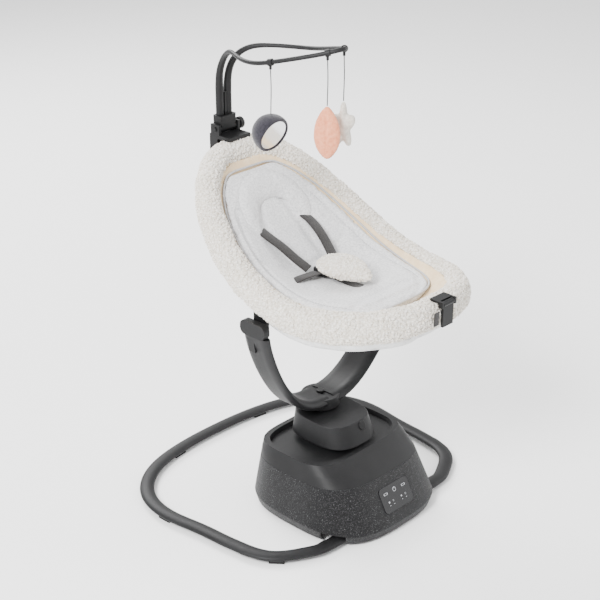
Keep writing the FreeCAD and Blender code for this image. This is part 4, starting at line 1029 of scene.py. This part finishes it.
# ------------------------------------------------------------------ control panel marks
def panel_marks():
    """Plain symbols on the panel: a power ring, two short rows and a pill."""
    low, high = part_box("control_panel")
    middle = (low + high) / 2
    lean = math.atan2((132.0 - 16.0) - 163.0, 84.0)
    up = Vector((0, -math.sin(lean), math.cos(lean)))
    across = Vector((1, 0, 0))
    out = across.cross(up).normalized()
    face = nodes["control_panel"].data.vertices
    proud = max(vertex.co.dot(out) for vertex in face)
    centre = middle + out * (proud - middle.dot(out) + 0.00012)
    parts = []

    def mark(x, z, wide, tall, hole=0.0, square=2.0):
        ring = []
        for spot in range(MARK_SIDES):
            turn = 2 * math.pi * spot / MARK_SIDES
            c, s = math.cos(turn), math.sin(turn)
            ring.append((math.copysign(abs(c) ** (2 / square), c), math.copysign(abs(s) ** (2 / square),
                    s)))
        points = [centre + across * (x + c * wide / 2) * MM + up * (z + s * tall / 2) * MM for c,
                  s in ring]
        faces = [tuple(range(MARK_SIDES))]
        if hole:
            points += [centre + across * (x + c * wide * hole / 2) * MM + up * (z + s * tall * hole / 2) * MM
                       for c, s in ring]
            faces = [(spot, (spot + 1) % MARK_SIDES, MARK_SIDES + (spot + 1) % MARK_SIDES,
                      MARK_SIDES + spot) for spot in range(MARK_SIDES)]
        parts.append(mesh_object("Mark", points, faces))
    mark(0.0, 13.0, 9.0, 9.0, 0.78)
    mark(0.0, 15.5, 1.0, 5.0)
    for index, x in enumerate((-24.0, -12.0, 12.0, 24.0)):
        mark(x, -6.0, 3.6, 3.6, 0.74 if index % 2 else 0.0, 2.0 if index % 3 else 5.0)
        mark(x, -13.0, 3.0, 0.9, 0.0, 5.0)
    for x in (-26.0, 26.0):
        mark(x, 12.0, 11.0, 4.4, 0.7, 4.0)
    marks = join("panel_symbols", parts)
    dress(marks, "base", looks["print"], "gloss_panel")


# ------------------------------------------------------------------ finishes
def make_looks():
    return {
        "charcoal": moulded("CharcoalPlastic", shade(0.006, 0.006, 0.0065), 0.5),
        "black": moulded("BlackPlastic", shade(0.004, 0.004, 0.0043), 0.46),
        "rubber": moulded("SoftRubber", shade(0.012, 0.012, 0.012), 0.78, 0.3),
        "nylon": moulded("NylonGear", shade(0.66, 0.64, 0.58), 0.5),
        "board": moulded("CircuitBoard", shade(0.01, 0.08, 0.03), 0.4),
        "steel": metal("BrightSteel", shade(0.34, 0.34, 0.36), 0.34),
        "aluminium": metal("FrameAluminium", shade(0.72, 0.72, 0.74), 0.32),
        "mirror": metal("MirrorFilm", shade(0.86, 0.86, 0.88), 0.04),
        "gloss": panel_gloss("GlossPanel"),
        "print": glowing_print("PanelPrint"),
        "skirt": heathered("HeatherSkirt", shade(0.004, 0.004, 0.0043), shade(0.010, 0.010, 0.011), 0.0022,
                           330.0, 0.92, 0.15, 0.5, 0.55),
        # Fleece: the first colour is painted shade in the gaps between curls, the second is the cream of the
        # curl tips.
        "fleece": looped_fleece("LoopedFleece", shade(0.62, 0.57, 0.49), shade(0.92, 0.90, 0.86)),
        "outer": heathered("OuterCoverCloth", shade(0.74, 0.74, 0.73), shade(0.86, 0.86, 0.85), 0.0016,
                           90.0),
        "lining": heathered("CreamLining", shade(0.74, 0.55, 0.33), shade(0.83, 0.66, 0.44), 0.0016, 60.0),
        "jersey": heathered("HeatherJersey", shade(0.5, 0.5, 0.51), shade(0.76, 0.76, 0.765), 0.0018,
                            260.0),
        "piping": heathered("PaleGreyPiping", shade(0.36, 0.36, 0.37), shade(0.5, 0.5, 0.51), 0.0014,
                            300.0),
        "webbing": heathered("DarkWebbing", shade(0.012, 0.011, 0.011), shade(0.035, 0.032, 0.031),
                             0.0024, 420.0,
                             0.85, 0.2, 0.6),
        "plum": heathered("PlumJersey", shade(0.012, 0.011, 0.016), shade(0.028, 0.025, 0.034), 0.0015,
                          220.0),
        "peach": heathered("PeachMuslin", shade(0.66, 0.22, 0.11), shade(0.78, 0.32, 0.18), 0.0015, 160.0),
        "knit": heathered("CreamKnit", shade(0.52, 0.48, 0.42), shade(0.74, 0.70, 0.63), 0.003, 130.0,
                          0.95, 0.3,
                          0.8),
        "tag": heathered("TagTape", shade(0.5, 0.19, 0.07), shade(0.62, 0.26, 0.1), 0.001, 200.0),
        "cord": heathered("ToyCord", shade(0.025, 0.025, 0.028), shade(0.06, 0.06, 0.065), 0.001, 500.0),
    }


NODE_LOOKS = {
    "charcoal": ["skirt_shell", "top_cover", "ring_rear_tube", "ring_corner_tubes", "ring_cross_tube",
                 "turret_cover", "yoke_frame", "arch_tubes", "toy_hangers"],
    "black": ["base_plate", "ring_clamps", "speaker", "power_inlet", "drive_tower", "turret_chassis",
              "rotation_release_button", "arm_sockets", "saddle_catch", "seat_release_tab_left",
              "seat_release_tab_right", "harness_buckle", "seat_brackets", "lever_bracket", "arch_clamp",
              "recline_lever", "arch_post_sleeve", "arch_knob", "recline_pins", "hinge_pins"],
    "rubber": ["ring_foot_pads", "rubber_feet"],
    "steel": ["base_screws", "swing_bearings", "drive_motor", "swing_shaft", "rotation_bearing",
              "button_spring",
              "rotation_spindle"],
    "nylon": ["drive_pinion", "sector_gear"],
    "board": ["circuit_board"],
    "gloss": ["control_panel"],
    "aluminium": ["seat_frame_tube"],
    "mirror": ["mirror_disc"],
}

looks = make_looks()
camera_and_studio()
for look, names in NODE_LOOKS.items():
    for name in names:
        nodes[name].data.materials.clear()
        nodes[name].data.materials.append(looks[look])
toy_cords()
CURLS = curl_tree()
STITCHES = stitch_tree()
fleece_roll()
outer_cover()
lining()
seat_pad()
head_pillow()
harness()
crotch_pad()
tags()
skirt()
leaf_toy()
star_toy()
mirror_toy()
panel_marks()
